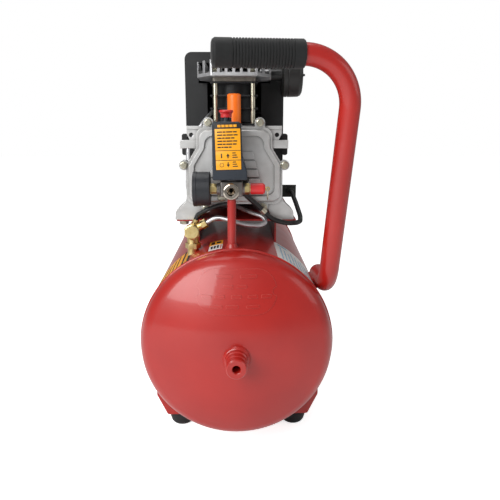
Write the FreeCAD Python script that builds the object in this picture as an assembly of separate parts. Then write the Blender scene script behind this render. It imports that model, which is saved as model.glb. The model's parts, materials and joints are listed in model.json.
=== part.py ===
import FreeCAD, Part
import math
import os

from FreeCAD import Rotation, Vector

# Hotdog air compressor, in millimetres. +Z is up, +X is to the right of someone facing the outlet end,
# and the outlet end looks along -Y. The origin is on the floor below the middle of the tank.
# Two datums place everything else: "back" is measured from the front seam of the tank towards +Y,
# and "up" is measured from the tank's axis towards +Z.

# ---- driving dimensions -------------------------------------------------------------------------------

# Tank
tank_radius = 150.0
tank_length = 580.0
tank_wall = 2.5
belly_height = 45.0             # shell's lowest line above the floor
head_flange = 6.0               # straight part of each dished head
head_knuckle = 30.0
head_crown = 300.0
seam_bead = 2.2                 # radius of the weld bead over each seam
boss_radius = 15.0
boss_bore = 5.9                 # tapping size for the end ports
boss_reach = 37.0               # boss face in front of the head's apex
panel_length = 119.0            # stamped rating panel
panel_height = 64.0
panel_up = 97.0
panel_relief = 0.8
drain_back = 210.0
drain_bung_radius = 10.0
drain_drop = 12.0               # bung below the shell
drain_tap_radius = 9.0
drain_boss = 11.0               # spindle boss in front of the drain's axis, clear of the bung
drain_spindle_radius = 2.5

# Feet, axle and wheels
foot_back = 100.0
foot_x = 101.0
foot_height = 25.0
foot_top_radius = 25.0
foot_tip_radius = 18.0
sheet = 3.0                     # thickness of every bent plate
bracket_depth = 50.0
bracket_inset = 7.0             # bracket's side face inside the shell's side
foot_stem_radius = 4.0
axle_inset = 100.0              # axle in front of the rear seam
axle_radius = 7.0
axle_cap_radius = 13.0
axle_cap = 3.2
wheel_radius = 75.0
wheel_width = 34.0
wheel_gap = 10.0                # between the wheel's inner face and the shell beside its top
bracket_to_wheel = 25.0
hub_radius = 52.0
hub_boss_radius = 16.0

# Handle
handle_tube_radius = 15.0
handle_tube_wall = 2.0
handle_low_up = 86.0
handle_low_back = 15.0
handle_end_back = 100.0
handle_top_rise = 276.0         # grip axis above the shell's top
handle_low_bend = 40.0
handle_top_bend = 68.0
handle_lean = 55.0              # how far the top corner stands in front of the low one
handle_splay = 20.0             # and how far outside it
grip_radius = 19.0
grip_rib_pitch = 4.0
grip_rib_depth = 1.2
grip_plain = 27.0               # smooth length at the free end
grip_end_cap = 4.0
grip_skew = 0.098               # forward drift of the grip per millimetre towards -X
grip_right_x = 92.0
grip_left_x = -31.0

# Pump
pump_x = -3.0
deck_rise = 34.5                # saddle deck above the shell's top
deck_half_width = 98.0
rail_x = 68.0
rail_front_back = 134.0
saddle_front_back = 74.0
saddle_rear_back = 400.0
foot_bolt_x = 84.0
foot_bolt_backs = (84.0, 108.0)
foot_bolt_radius = 4.0
motor_foot_back = 320.0
motor_foot_bolt_x = 36.0
motor_foot_bolt_radius = 3.0
shaft_rise = 86.5               # crankshaft axis above the deck
case_front_back = 71.0          # front face of the crankcase flange
case_depth = 95.0
case_wall = 6.0
case_top_half = 60.0
case_low_half = 77.0
case_top = 61.0                 # crankcase roof above the shaft axis
case_bottom = 60.0              # crankcase floor below the shaft axis
case_flange = 8.0
case_body_inset = 3.0           # crankcase body inside its flange
leg_depth = 46.0
foot_half = 97.0
arch_half = 58.0
ledge_depth = 50.0
roof_half = 44.0
lug_reach = 86.0                # bright side lugs
lug_depth = 14.0
lug_rises = (28.0, 41.0)
ear_radius = 8.0
cover_bolt_radius = 3.0
cover_bolt_low_x = 46.0
cover_bolt_high_x = 40.5
cover_bolt_side_x = 80.0
cover_flange = 5.0
cover_dome = 6.0
cover_steps = 5
gasket_thickness = 1.0
sight_radius = 10.0
sight_rise = -27.0
plug_x = -20.0
plug_rise = -49.0
plug_radius = 5.0
plug_washer_radius = 7.5
breather_back = 79.0
breather_radius = 10.7
breather_skirt = 6.5
breather_height = 46.0
bearing_outer = 17.5
bearing_width = 10.0
cylinder_back = 130.0
bore_radius = 23.5
stroke = 41.0
barrel_radius = 27.0
cylinder_height = 69.0
fin_half_width = 38.0
fin_thickness = 2.5
fin_pitch = 20.0
stud_radius = 3.8
stud_x = 30.0
stud_y = 34.0
valve_plate_thickness = 6.0
head_half_width = 58.5
head_half_depth = 66.0
head_front_half = 35.5
head_plate = 5.0
head_fin_height = 18.5
head_fins = 10
nut_clearance = 9.2             # radius cleared in the fins round each stud nut
filter_radius = 35.0
filter_width = 32.5
filter_stand = 20.0             # filter's inner face outside the head
filter_lift = 7.0               # filter's axis above the head's underside
port_x = -7.0                   # discharge port
port_radius = 9.0
port_lift = 4.0
inlet_bore = 5.0
piston_length = 34.0
piston_skirt = 4.0
wrist_drop = 16.0               # wrist pin below the piston's crown
wrist_radius = 6.0
rod_depth = 12.0

# Motor and shroud
shaft_radius = 8.5
crank_web_radius = 34.0
crank_web_thickness = 10.0
crankpin_radius = 7.5
motor_radius = 75.0
motor_wall = 5.0
shield_thickness = 6.0
shield_seat_radius = 24.0
fan_inset = 5.0                 # blade tips inside the motor's radius
fan_depth = 24.0
fan_hub_radius = 18.0
fan_blades = 9
motor_front_back = 206.0
motor_length = 166.0
stator_length = 90.0
rotor_radius = 41.7
shroud_front_back = 168.0
shroud_rear_back = 400.0
shroud_room = 10.0              # shroud's side outside the motor's
shroud_rear_room = 17.0         # low part of its top above the motor
shroud_slope_start = 262.0
shroud_slope_end = 318.0
shroud_bump = 8.0
shroud_top_rise = 186.0         # shroud's top above the shaft axis
shroud_wall = 2.5

# Switch column
column_x = -7.0
column_back = 20.0
stand_pipe_radius = 6.75
stand_pipe_height = 72.0        # painted length above the shell
manifold_rise = 90.5            # port axes above the shell's top
switch_bottom_rise = 106.0
switch_height = 83.5
switch_front_back = -10.0
switch_depth = 60.0
switch_wall = 2.5
switch_left_x = -34.0
switch_top_right_x = 8.0
switch_foot_right_x = 16.5
switch_flare_rise = 33.0        # where the case starts to widen, above its bottom
knob_collar = 6.0
knob_offset = -7.0              # plunger from the column's axis
plunger_radius = 5.0
manifold_half = 17.0
manifold_spigot = 5.0           # whatever screws into the manifold
outlet_radius = 12.0
outlet_bore = 6.25
outlet_front_back = -22.0
gauge_radius = 26.5
gauge_depth = 26.0
gauge_face_x = -65.0
gauge_bezel = 3.2
gauge_well = 8.0                # dial below the bezel's front
gauge_spindle = 0.8
relief_tip_x = 44.0
relief_stem_radius = 2.5
relief_cap_radius = 8.5
pull_ring_radius = 8.0
pull_ring_wire = 0.9
barb_back = 44.0

# Pipes and cables
check_x = -71.0
check_back = 58.0
check_bung_radius = 9.0
check_rise = 37.0               # check valve's ports above the shell beside it
discharge_radius = 3.5
hose_radius = 3.5
lead_radius = 4.0
clip_thickness = 1.2
gland_x = 20.0                  # switch gland from the column's axis
gland_back = 40.0
shroud_gland_x = 98.0
shroud_gland_back = 180.0
shroud_gland_rise = 34.0        # above the deck
bend_limit = 40.0

# Clearances
running = 0.05                  # radial, shafts in their bearings
guide = 0.3                     # between sliding or turning pieces that only pass each other
air_gap = 0.5                   # rotor to stator
past = 1.0                      # how far a cutting tool runs beyond the face it cuts

# ---- values worked out from them ----------------------------------------------------------------------

tank_up = tank_radius + belly_height
seam_y = -tank_length / 2
floor_up = -tank_up
foot_top_up = floor_up + foot_height
bracket_half_width = tank_radius - bracket_inset
axle_back = tank_length - axle_inset
axle_up = floor_up + wheel_radius
wheel_top_up = min(axle_up + wheel_radius, 0.0)
wheel_inner_x = math.sqrt(tank_radius ** 2 - wheel_top_up ** 2) + wheel_gap
rear_half_width = wheel_inner_x - bracket_to_wheel
knuckle_x = tank_radius - head_knuckle
head_depth = head_crown - math.sqrt((head_crown - head_knuckle) ** 2 - knuckle_x ** 2)
apex_y = tank_length / 2 + head_flange + head_depth
deck_up = tank_radius + deck_rise
shaft_up = deck_up + shaft_rise
case_rear_back = case_front_back + case_depth
barrel_base = case_top + 2.0
cylinder_top = barrel_base + cylinder_height
head_base = cylinder_top + valve_plate_thickness
crank_throw = stroke / 2
wheel_outer_x = wheel_inner_x + wheel_width
bolt_places = ((-cover_bolt_high_x, case_top + 7), (cover_bolt_high_x, case_top + 7),
               (-cover_bolt_side_x, 2.0), (cover_bolt_side_x, 2.0),
               (-cover_bolt_low_x, -case_bottom - 6), (cover_bolt_low_x, -case_bottom - 6))
clip_bolt = 5                   # this bolt also holds the cable clip
deck_drop = -shaft_rise         # deck, measured from the shaft axis
gasket_back = case_front_back - gasket_thickness
cover_back = gasket_back - cover_flange
dome_back = cover_back - cover_dome
recess_back = dome_back + 4.0   # floor of the cover's middle panel
filter_rise = head_base + filter_lift
filter_x = head_half_width + filter_stand
port_rise = head_base + head_plate + port_lift
piston_top = cylinder_top - 1.0
wrist_rise = piston_top - wrist_drop
web_front_back = cylinder_back + rod_depth / 2 + 4.0
fan_radius = motor_radius - fan_inset
shaft_rear_back = motor_front_back + motor_length + 8.0
bearing_backs = (case_rear_back - 2.0, motor_front_back + shield_thickness,
                 motor_front_back + motor_length - 16.0)
rotor_front_back = motor_front_back + (motor_length - stator_length) / 2
shroud_half_width = motor_radius + shroud_room
shroud_low_top = motor_radius + shroud_rear_room
shroud_bottom = deck_drop + 8.0
knob_x = column_x + knob_offset
gauge_back_x = gauge_face_x + gauge_depth
relief_base_x = column_x + manifold_half + 3
eye_x = relief_tip_x + 4.0
manifold_up = tank_radius + manifold_rise
switch_up = tank_radius + switch_bottom_rise


def at(x, back, up):
    """Point from the two tank datums."""
    return Vector(x, seam_y + back, tank_up + up)


def pump_at(x, back, rise):
    """Point from the crankshaft axis: x from the pump's middle, rise above the shaft."""
    return at(pump_x + x, back, shaft_up + rise)


# ---- building blocks ----------------------------------------------------------------------------------

X = Vector(1, 0, 0)
Y = Vector(0, 1, 0)
Z = Vector(0, 0, 1)


def rod(radius, length, base, axis=Z):
    return Part.makeCylinder(radius, length, base, axis)


def ring(outer, inner, length, base, axis=Z):
    hole = rod(inner, length + 2, base - axis * 1.0, axis)
    return rod(outer, length, base, axis).cut(hole)


def block(low, high):
    size = high - low
    return Part.makeBox(size.x, size.y, size.z, low)


def join(*solids):
    whole = solids[0].fuse(list(solids[1:])) if len(solids) > 1 else solids[0]
    return whole.removeSplitter()


def rounded_path(points, radii, closed=False):
    """Straight runs joined by tangent arcs; radii has one value for each corner."""
    count = len(points)
    corners = range(count) if closed else range(1, count - 1)
    trims = {}
    for place, i in enumerate(corners):
        radius = radii[place] if isinstance(radii, (list, tuple)) else radii
        before = (points[i - 1] - points[i]).normalize()
        after = (points[(i + 1) % count] - points[i]).normalize()
        half = before.getAngle(after) / 2
        if radius <= 0 or half > math.radians(89.9):
            trims[i] = (points[i], None, points[i])
            continue
        reach = radius / math.tan(half)
        inward = (before + after).normalize()
        middle = points[i] + inward * (radius / math.sin(half) - radius)
        trims[i] = (points[i] + before * reach, middle, points[i] + after * reach)
    edges = []
    for i in range(count if closed else count - 1):
        j = (i + 1) % count
        start = trims[i][2] if i in trims else points[i]
        end = trims[j][0] if j in trims else points[j]
        if (end - start).Length > 1e-6:
            edges.append(Part.LineSegment(start, end).toShape())
        if j in trims and trims[j][1] is not None:
            edges.append(Part.Arc(trims[j][0], trims[j][1], trims[j][2]).toShape())
    return Part.Wire(edges)


def plate(points, radii, push):
    """A flat outline with rounded corners, pushed along a vector."""
    return Part.Face(rounded_path(points, radii, closed=True)).extrude(push)


def tube(points, radii, outer, inner=0.0):
    """A round bar or tube that follows straight runs and tangent arcs."""
    path = rounded_path(points, radii)
    heading = (points[1] - points[0]).normalize()

    def swept(radius):
        section = Part.Wire([Part.makeCircle(radius, points[0], heading)])
        return path.makePipeShell([section], True, False)

    body = swept(outer)
    return body.cut(swept(inner)) if inner > 0 else body


def across(axis):
    """A unit vector square to the axis."""
    helper = Z if abs(axis.z) < 0.9 else X
    return axis.cross(helper).normalize()


def turned(profile, base, axis):
    """Solid of revolution from (radius, distance along the axis) pairs."""
    side = across(axis)
    points = [base + side * radius + axis * along for radius, along in profile]
    face = Part.Face(Part.makePolygon(points + [points[0]]))
    return face.revolve(base, axis, 360)


def hexagon(across_flats, height, base, axis=Z, chamfer=1.0):
    """Hexagonal prism whose outer end has its corners turned off."""
    side = across(axis)
    points = []
    for i in range(6):
        turn = Rotation(axis, 60 * i + 30)
        points.append(base + turn.multVec(side) * (across_flats / math.sqrt(3)))
    prism = Part.Face(Part.makePolygon(points + [points[0]])).extrude(axis * height)
    corner = across_flats / math.sqrt(3) + 0.05
    cone_shape = turned(
        [(0, 0), (corner, 0), (corner, height - chamfer), (corner - 2 * chamfer, height), (0, height)],
        base, axis)
    return prism.common(cone_shape)


def soften(shape, radius, keep):
    """Round the edges whose middle and direction the test accepts."""
    edges = []
    for edge in shape.Edges:
        if edge.Length < 1.2 * radius:
            continue
        middle = edge.valueAt((edge.FirstParameter + edge.LastParameter) / 2)
        straight = edge.Curve.TypeId == "Part::GeomLine"
        along = edge.tangentAt(edge.FirstParameter) if straight else Vector(0, 0, 0)
        if keep(middle, along):
            edges.append(edge)
    return shape.makeFillet(radius, edges) if edges else shape


def mirror_x(shape):
    return shape.mirror(Vector(0, 0, 0), X)


os.makedirs("parts", exist_ok=True)


def save(name, *solids):
    """Write one node; several solids stay separate inside it."""
    whole = []
    for shape in solids:
        whole.extend(shape.Solids)
    result = whole[0] if len(whole) == 1 else Part.makeCompound(whole)
    assert result.isValid(), name + " is not a valid shape"
    result.exportStep("parts/" + name + ".step")
    volume = sum(solid.Volume for solid in whole)
    print(f"{name:22s} solids {len(whole):2d}  volume {volume / 1000:9.2f} cm3")


# ---- tank ---------------------------------------------------------------------------------------------

def shell_block(radius, length=None):
    """Solid cylinder on the tank's axis, used to trim whatever is welded to the shell."""
    span = tank_length if length is None else length
    return rod(radius, span, Vector(0, -span / 2, tank_up), Y)


def tank_shell():
    shell = shell_block(tank_radius).cut(shell_block(tank_radius - tank_wall, tank_length + 2))
    shell = shell.cut(rod(stand_pipe_radius, tank_radius + 20, at(column_x, column_back, 0)))
    shell = shell.cut(rod(check_bung_radius, tank_radius + 20, at(check_x, check_back, 0)))
    return shell.cut(rod(drain_bung_radius, tank_radius + 20, at(0, drain_back, 0), -Z))


def head_solid(inset):
    """Klopper dish filled solid; inset moves its surface inwards. It points along -Y from the front seam."""
    knuckle = head_knuckle - inset
    crown = head_crown - inset
    middle_y = seam_y - head_flange
    crown_centre = Vector(0, middle_y - head_depth + head_crown, 0)
    knuckle_centre = Vector(knuckle_x, middle_y, 0)
    outward = (knuckle_centre - crown_centre).normalize()
    tangent = crown_centre + outward * crown
    bisector = (X + outward).normalize()
    apex = crown_centre - Y * crown
    half_way = (outward - Y).normalize()
    rim = Vector(tank_radius - inset, middle_y, 0)
    seam = Vector(tank_radius - inset, seam_y, 0)
    axis_point = Vector(0, seam_y, 0)
    edges = [
        Part.LineSegment(axis_point, seam).toShape(),
        Part.LineSegment(seam, rim).toShape(),
        Part.Arc(rim, knuckle_centre + bisector * knuckle, tangent).toShape(),
        Part.Arc(tangent, crown_centre + half_way * crown, apex).toShape(),
        Part.LineSegment(apex, axis_point).toShape(),
    ]
    solid = Part.Face(Part.Wire(edges)).revolve(Vector(0, 0, 0), Y, 360)
    return solid.translated(Vector(0, 0, tank_up))


def weld_bead():
    """Bead that stands on the shell over the front seam."""
    half = seam_bead
    low = tank_radius - 0.5
    profile = [(low, -half), (tank_radius, -half), (tank_radius + 0.6 * half, -0.8 * half),
               (tank_radius + half, -0.3 * half), (tank_radius + half, 0.3 * half),
               (tank_radius + 0.6 * half, 0.8 * half), (tank_radius, half), (low, half)]
    hoop = turned(profile, Vector(0, seam_y, tank_up), Y)
    return hoop.cut(shell_block(tank_radius))


def turn_about(shape):
    """Copy turned half a turn about the vertical axis, for the rear end."""
    copy = shape.copy()
    copy.rotate(Vector(0, 0, 0), Z, 180)
    return copy


def stadium(length, height, depth, up):
    """Upright stadium-shaped prism in front of the head, for the stamped panel."""
    half = length / 2
    lift = height / 2
    start = apex_y + 5
    corners = [Vector(x, -start, tank_up + up + z)
               for x, z in ((-half, -lift), (half, -lift), (half, lift), (-half, lift))]
    return plate(corners, 0.94 * lift, Y * depth)


def stamped_panel():
    """Raised panel on the front head with four rows of plain bars and a notch at each end."""
    zone = stadium(panel_length, panel_height, head_depth + 5, panel_up)
    for side in (-1, 1):
        spot = Vector(side * panel_length / 2, -apex_y - 6, tank_up + panel_up)
        zone = zone.cut(rod(6.0, head_depth + 8, spot, Y))
    raised = head_solid(-panel_relief).cut(head_solid(0.4)).common(zone)
    bars = []
    rows = ((22.0, (-18, 18), 12.0), (8.0, (-12, 8), 7.0), (-6.0, (-44, -24, 0, 24, 44), 7.0),
            (-20.0, (-30, -6, 24), 9.0))
    for rise, centres, half in rows:
        for x in centres:
            low = Vector(x - half, -apex_y - 5, tank_up + panel_up + rise - 2.2)
            bars.append(block(low, low + Vector(2 * half, head_depth + 5, 4.4)))
    marks = head_solid(-2 * panel_relief).cut(head_solid(0.4)).common(Part.makeCompound(bars))
    return raised, marks


def tank_head_front():
    dish = head_solid(0.0).cut(head_solid(tank_wall))
    raised, marks = stamped_panel()
    dish = dish.fuse([raised, marks])
    dish = dish.cut(rod(boss_radius, 80, Vector(0, -apex_y - 20, tank_up), Y))
    return join(dish, weld_bead())


def tank_head_rear():
    dish = head_solid(0.0).cut(head_solid(tank_wall))
    dish = dish.cut(rod(boss_radius, 80, Vector(0, -apex_y - 20, tank_up), Y))
    return turn_about(join(dish, weld_bead()))


def end_boss():
    """Turned port boss that passes through the front head, with its stepped collars and weld."""
    apex = Vector(0, -apex_y, tank_up)
    profile = [
        (boss_bore, -tank_wall - 4), (boss_radius, -tank_wall - 4), (boss_radius, -1),
        (20.5, -1), (20.5, 2), (18.6, 5), (17.2, 6), (17.2, 13), (15.8, 14.5), (15.8, 24),
        (boss_radius, 25), (boss_radius, boss_reach - 1.5), (boss_radius - 1.5, boss_reach),
        (boss_bore + 1.2, boss_reach), (boss_bore, boss_reach - 1.2)]
    body = turned(profile, apex, -Y)
    # the weld rests on the dish, and only the spigot goes through it
    dish = head_solid(0.0).cut(rod(boss_radius, 80, apex - Y * 20, Y))
    return body.cut(dish)


front_boss = end_boss()
save("tank_shell", tank_shell())
save("tank_head_front", tank_head_front())
save("tank_head_rear", tank_head_rear())
save("end_bosses", front_boss, turn_about(front_boss))

# ---- drain --------------------------------------------------------------------------------------------

def drain_valve():
    """Welded bung with the brass valve body screwed into it; the tap's spindle hole looks forwards."""
    bottom = at(0, drain_back, -tank_radius - drain_drop)
    bung = rod(drain_bung_radius, drain_drop + 8, bottom)
    bore = rod(3.0, drain_drop + 22, bottom - Z * 12)
    boss = rod(drain_spindle_radius + 2.5, drain_boss, bottom - Z * 6, -Y)
    body = join(bung, rod(6.5, 10, bottom - Z * 10), boss)
    spindle = rod(drain_spindle_radius + running, drain_boss + 1, bottom + Vector(0, 0.5, -6), -Y)
    return body.cut(bore).cut(spindle)


def drain_tap():
    """Winged tap with its spindle."""
    centre = at(0, drain_back, -tank_radius - drain_drop - 6)
    thickness = 4.0
    start = drain_boss + guide
    spindle = rod(drain_spindle_radius, start + 1, centre, -Y)
    disc = rod(drain_tap_radius - 3, thickness, centre - Y * start, -Y)
    wing = block(centre + Vector(-drain_tap_radius, -start - thickness, -2),
                 centre + Vector(drain_tap_radius, -start, 2))
    return join(spindle, disc, wing)


save("drain_valve", drain_valve())
save("drain_tap", drain_tap())

# ---- stand pipe and saddle ----------------------------------------------------------------------------

def stand_pipe():
    """Pipe through the shell's top with its weld fillet and a reduced threaded end."""
    foot = at(column_x, column_back, tank_radius - 8)
    bore = stand_pipe_radius - 2.0
    pipe = rod(stand_pipe_radius, stand_pipe_height + 8, foot)
    thread = rod(stand_pipe_radius - 0.6, 10, foot + Z * (stand_pipe_height + 8))
    weld_base = at(column_x, column_back, tank_radius - 2)
    weld = Part.makeCone(stand_pipe_radius + 4, stand_pipe_radius + 0.5, 7, weld_base)
    weld = weld.cut(shell_block(tank_radius))
    return join(pipe, thread, weld).cut(rod(bore, stand_pipe_height + 40, foot - Z))


def pump_saddle():
    """Deck plate on two rails that are welded along the shell."""
    top = deck_up
    deck = block(at(-deck_half_width, saddle_front_back, top - sheet),
                 at(deck_half_width, saddle_rear_back, top))
    deck = soften(deck, 6.0, lambda middle, along: abs(along.z) > 0.9)
    rails = []
    for side in (-1, 1):
        x = side * rail_x
        rail = block(at(x - sheet / 2, rail_front_back, tank_radius / 2),
                     at(x + sheet / 2, saddle_rear_back - 8, top - sheet))
        rails.append(rail.cut(shell_block(tank_radius)))
    frame = join(deck, *rails)
    for side in (-1, 1):
        for back in foot_bolt_backs:
            frame = frame.cut(rod(foot_bolt_radius, 20, at(pump_x + side * foot_bolt_x, back, top - 10)))
        bolt = at(pump_x + side * motor_foot_bolt_x, motor_foot_back, top - 10)
        frame = frame.cut(rod(motor_foot_bolt_radius, 20, bolt))
    return frame


save("stand_pipe", stand_pipe())
save("pump_saddle", pump_saddle())

# ---- feet, axle and wheels ----------------------------------------------------------------------------

def channel(outline, back):
    """Bracket folded from sheet: an outline under the shell, hollow, open on its inner side to the tank."""
    front = back - bracket_depth / 2
    outer = plate([at(x, front, up) for x, up in outline], 4.0, Y * bracket_depth)
    lowest = min(up for x, up in outline)
    inner_points = []
    for x, up in outline:
        inward = -sheet if x > 0 else sheet
        inner_points.append(at(x + inward, front + sheet, up + (sheet if up < lowest + 1 else 0)))
    inner = plate(inner_points, 2.0, Y * (bracket_depth - 2 * sheet))
    return outer.cut(inner).cut(shell_block(tank_radius))


def front_foot_bracket():
    half = bracket_half_width
    low = foot_top_up
    outline = [(-half + 18, low), (half - 18, low), (half, low + 38), (half, -40),
               (half - 30, -20), (-half + 30, -20), (-half, -40), (-half, low + 38)]
    bracket = channel(outline, foot_back)
    for side in (-1, 1):
        bracket = bracket.cut(rod(foot_stem_radius, 20, at(side * foot_x, foot_back, low - 8)))
    return bracket


def rubber_foot(side):
    """Tapered foot with a rounded tip; its moulded stem snaps through the bracket."""
    top = at(side * foot_x, foot_back, foot_top_up)
    profile = [(0, 0), (foot_top_radius, 0), (foot_top_radius, 4),
               (foot_tip_radius + 2.5, foot_height - 5), (foot_tip_radius, foot_height - 1.5),
               (foot_tip_radius - 2.0, foot_height), (0, foot_height)]
    body = turned(profile, top, -Z)
    stem = rod(foot_stem_radius, sheet, top)
    knob = Part.makeCone(foot_stem_radius + 2, foot_stem_radius - 0.5, 5.0, top + Z * sheet)
    return join(body, stem, knob)


save("front_foot_bracket", front_foot_bracket())
save("rubber_feet", rubber_foot(-1), rubber_foot(1))


def rear_axle_brackets():
    """One folded bracket each side, left where the shell passes between them."""
    low = axle_up - 18
    half = rear_half_width
    outline = [(-half, low), (half, low), (half, -60), (half - 30, -40), (-half + 30, -40), (-half, -60)]
    bracket = channel(outline, axle_back)
    spacer = rod(axle_radius + 6, wheel_inner_x - guide - half, at(half, axle_back, axle_up), X)
    bracket = join(bracket, spacer, mirror_x(spacer))
    return bracket.cut(rod(axle_radius, 2 * wheel_outer_x, at(-wheel_outer_x, axle_back, axle_up), X))


def stub_axle():
    """Right-hand axle bolt: hexagon head inside the bracket, domed push cap outside the wheel."""
    reach = wheel_outer_x + guide
    inner_x = rear_half_width - sheet
    bar = rod(axle_radius, reach - inner_x, at(inner_x, axle_back, axle_up), X)
    head = hexagon(22.0, 6.0, at(inner_x, axle_back, axle_up), -X)
    cap_profile = [(0, 0), (axle_cap_radius, 0), (axle_cap_radius, 1.2), (axle_cap_radius - 3, axle_cap),
                   (0, axle_cap)]
    cap = turned(cap_profile, at(reach, axle_back, axle_up), X)
    return join(bar, head, cap)


def wheel_hub():
    """Right-hand hub: rim drum, recessed web with lightening holes, and the axle boss."""
    centre = at(wheel_inner_x, axle_back, axle_up)
    width = wheel_width
    boss = hub_boss_radius
    rim = hub_radius
    profile = [(axle_radius + running, 0), (boss, 0), (boss, 9), (rim - 6, 12), (rim - 6, 2), (rim, 2),
               (rim, width - 4), (rim - 4, width - 3), (rim - 7, width - 6), (rim - 8, 19),
               (boss + 2, 16), (boss, width - 1), (boss - 2, width), (axle_radius + running, width)]
    hub = turned(profile, centre, X)
    for i in range(5):
        angle = math.radians(72 * i + 18)
        ring_radius = (boss + rim) / 2 - 3
        spot = centre + Vector(-2, ring_radius * math.cos(angle), ring_radius * math.sin(angle))
        hub = hub.cut(rod(7.5, width + 4, spot, X))
    return hub


def tyre():
    """Right-hand solid tyre with a crowned tread and shallow grooves."""
    centre = at(wheel_inner_x, axle_back, axle_up)
    width = wheel_width
    edge = wheel_radius
    profile = [(hub_radius, 2), (hub_radius + 5, 0.5), (edge - 8, 1.5), (edge - 2, 6), (edge - 0.3, 11)]
    for groove in (12.0, 21.0):
        profile += [(edge - 0.1, groove), (edge - 2.0, groove + 0.4), (edge - 2.0, groove + 1.6),
                    (edge, groove + 2.0)]
    profile += [(edge - 0.3, 25), (edge - 2, width - 6), (edge - 8, width - 1.5), (hub_radius + 5, width - 2),
                (hub_radius, width - 4)]
    return turned(profile, centre, X)


right_hub = wheel_hub()
right_tyre = tyre()
right_axle = stub_axle()
save("rear_axle_brackets", rear_axle_brackets())
save("stub_axles", right_axle, mirror_x(right_axle))
save("wheel_hub_right", right_hub)
save("wheel_hub_left", mirror_x(right_hub))
save("tyre_right", right_tyre)
save("tyre_left", mirror_x(right_tyre))

# ---- handle -------------------------------------------------------------------------------------------

handle_centre = tank_radius + handle_tube_radius
handle_x = math.sqrt(handle_centre ** 2 - handle_low_up ** 2)
handle_top_up = tank_radius + handle_top_rise
handle_low = at(handle_x + 2.0, handle_low_back, handle_low_up)
handle_corner = at(handle_x + 2.0 + handle_splay, handle_low_back - handle_lean, handle_top_up)
grip_heading = Vector(-1, -grip_skew, 0).normalize()


def on_grip(x):
    """Point of the grip's axis at a given x."""
    return handle_corner + grip_heading * ((handle_corner.x - x) / abs(grip_heading.x))


def handle_tube():
    rear = at(handle_x, handle_end_back, handle_low_up)
    end = on_grip(grip_left_x + grip_end_cap)
    points = [rear, handle_low, handle_corner, end]
    inner = handle_tube_radius - handle_tube_wall
    bent = tube(points, [handle_low_bend, handle_top_bend], handle_tube_radius, inner)
    lid = rod(inner, 3.0, rear, (handle_low - rear).normalize())
    # weld seat that fills the wedge between the tube and the shell
    out = Vector(rear.x, 0, handle_low_up).normalize()
    up_along = Vector(-out.z, 0, out.x)
    middle = Vector(0, rear.y, tank_up) + out * (tank_radius - 1.0)
    corners = [middle + up_along * 9, middle - up_along * 9,
               middle - up_along * 9 + out * 9, middle + up_along * 9 + out * 9]
    seat = Part.Face(Part.makePolygon(corners + [corners[0]])).extrude(-Y * 44)
    tube_room = rod(inner + 1, 60, rear + Y * 2, (handle_low - rear).normalize())
    seat = seat.cut(shell_block(tank_radius)).cut(tube_room)
    return join(bent, lid, seat)


def handle_grip():
    """Ribbed sleeve with a closed, rounded free end."""
    start = on_grip(grip_left_x)
    heading = grip_heading * -1.0
    length = (grip_right_x - grip_left_x) / abs(grip_heading.x)
    outer = grip_radius
    root = outer - grip_rib_depth
    profile = [(0, 0), (outer - 6, 0), (outer - 2.2, 1.4), (outer, 5), (outer, grip_plain)]
    pitch = grip_rib_pitch
    ribs = int((length - grip_plain - 12) / pitch)
    for i in range(ribs):
        along = grip_plain + pitch * i
        profile += [(root, along + 0.5), (root, along + 1.5), (outer, along + 2.0), (outer, along + pitch)]
    profile += [(outer, length - 2), (outer - 1.5, length), (handle_tube_radius, length),
                (handle_tube_radius, grip_end_cap), (0, grip_end_cap)]
    side = Z
    points = [start + side * radius + heading * along for radius, along in profile]
    return Part.Face(Part.makePolygon(points + [points[0]])).revolve(start, heading, 360)


save("handle_tube", handle_tube())
save("handle_grip", handle_grip())

# ---- crankcase and cover ------------------------------------------------------------------------------

def case_outline(grow, back, depth):
    """Crankcase silhouette: straight upper half, shoulders, wider lower half."""
    top = case_top_half + grow
    low = case_low_half + grow
    lift = case_top + grow
    drop = -case_bottom - grow
    half = [(top, lift), (top, 29.0), (low, 2.0), (low, drop)]
    points = [pump_at(x, back, z) for x, z in half] + [pump_at(-x, back, z) for x, z in reversed(half)]
    radii = [14.0, 10.0, 10.0, 14.0, 14.0, 10.0, 10.0, 14.0]
    return plate(points, radii, Y * depth)


def with_ears(body, back, depth):
    """Round ears for the cover bolts, blended into the outline."""
    ears = [rod(ear_radius, depth, pump_at(x, back, z), Y) for x, z in bolt_places]
    links = []
    for x, z in bolt_places:
        if abs(x) < case_top_half:
            inward = -10.0 if z > 0 else 10.0
            low_z = min(z, z + inward)
            links.append(block(pump_at(x - ear_radius, back, low_z),
                               pump_at(x + ear_radius, back + depth, low_z + 10)))
    return join(body, *ears, *links)


def bolt_holes(body, back, depth, radius):
    """The body with a hole at every cover bolt."""
    for x, z in bolt_places:
        body = body.cut(rod(radius, depth, pump_at(x, back, z), Y))
    return body


def leg(side):
    """Flared skirt from the crankcase down to its foot on the deck."""
    floor = -case_bottom
    points = [(60, floor + 20), (case_low_half, floor + 22), (case_low_half + 1, floor + 4),
              (foot_half - 1, deck_drop + 14), (foot_half, deck_drop), (arch_half + 4, deck_drop),
              (arch_half - 6, deck_drop + 24), (38, floor)]
    corners = [pump_at(side * x, case_front_back, z) for x, z in points]
    return plate(corners, [0, 6.0, 18.0, 4.0, 1.5, 3.0, 8.0, 0], Y * leg_depth)


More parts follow.
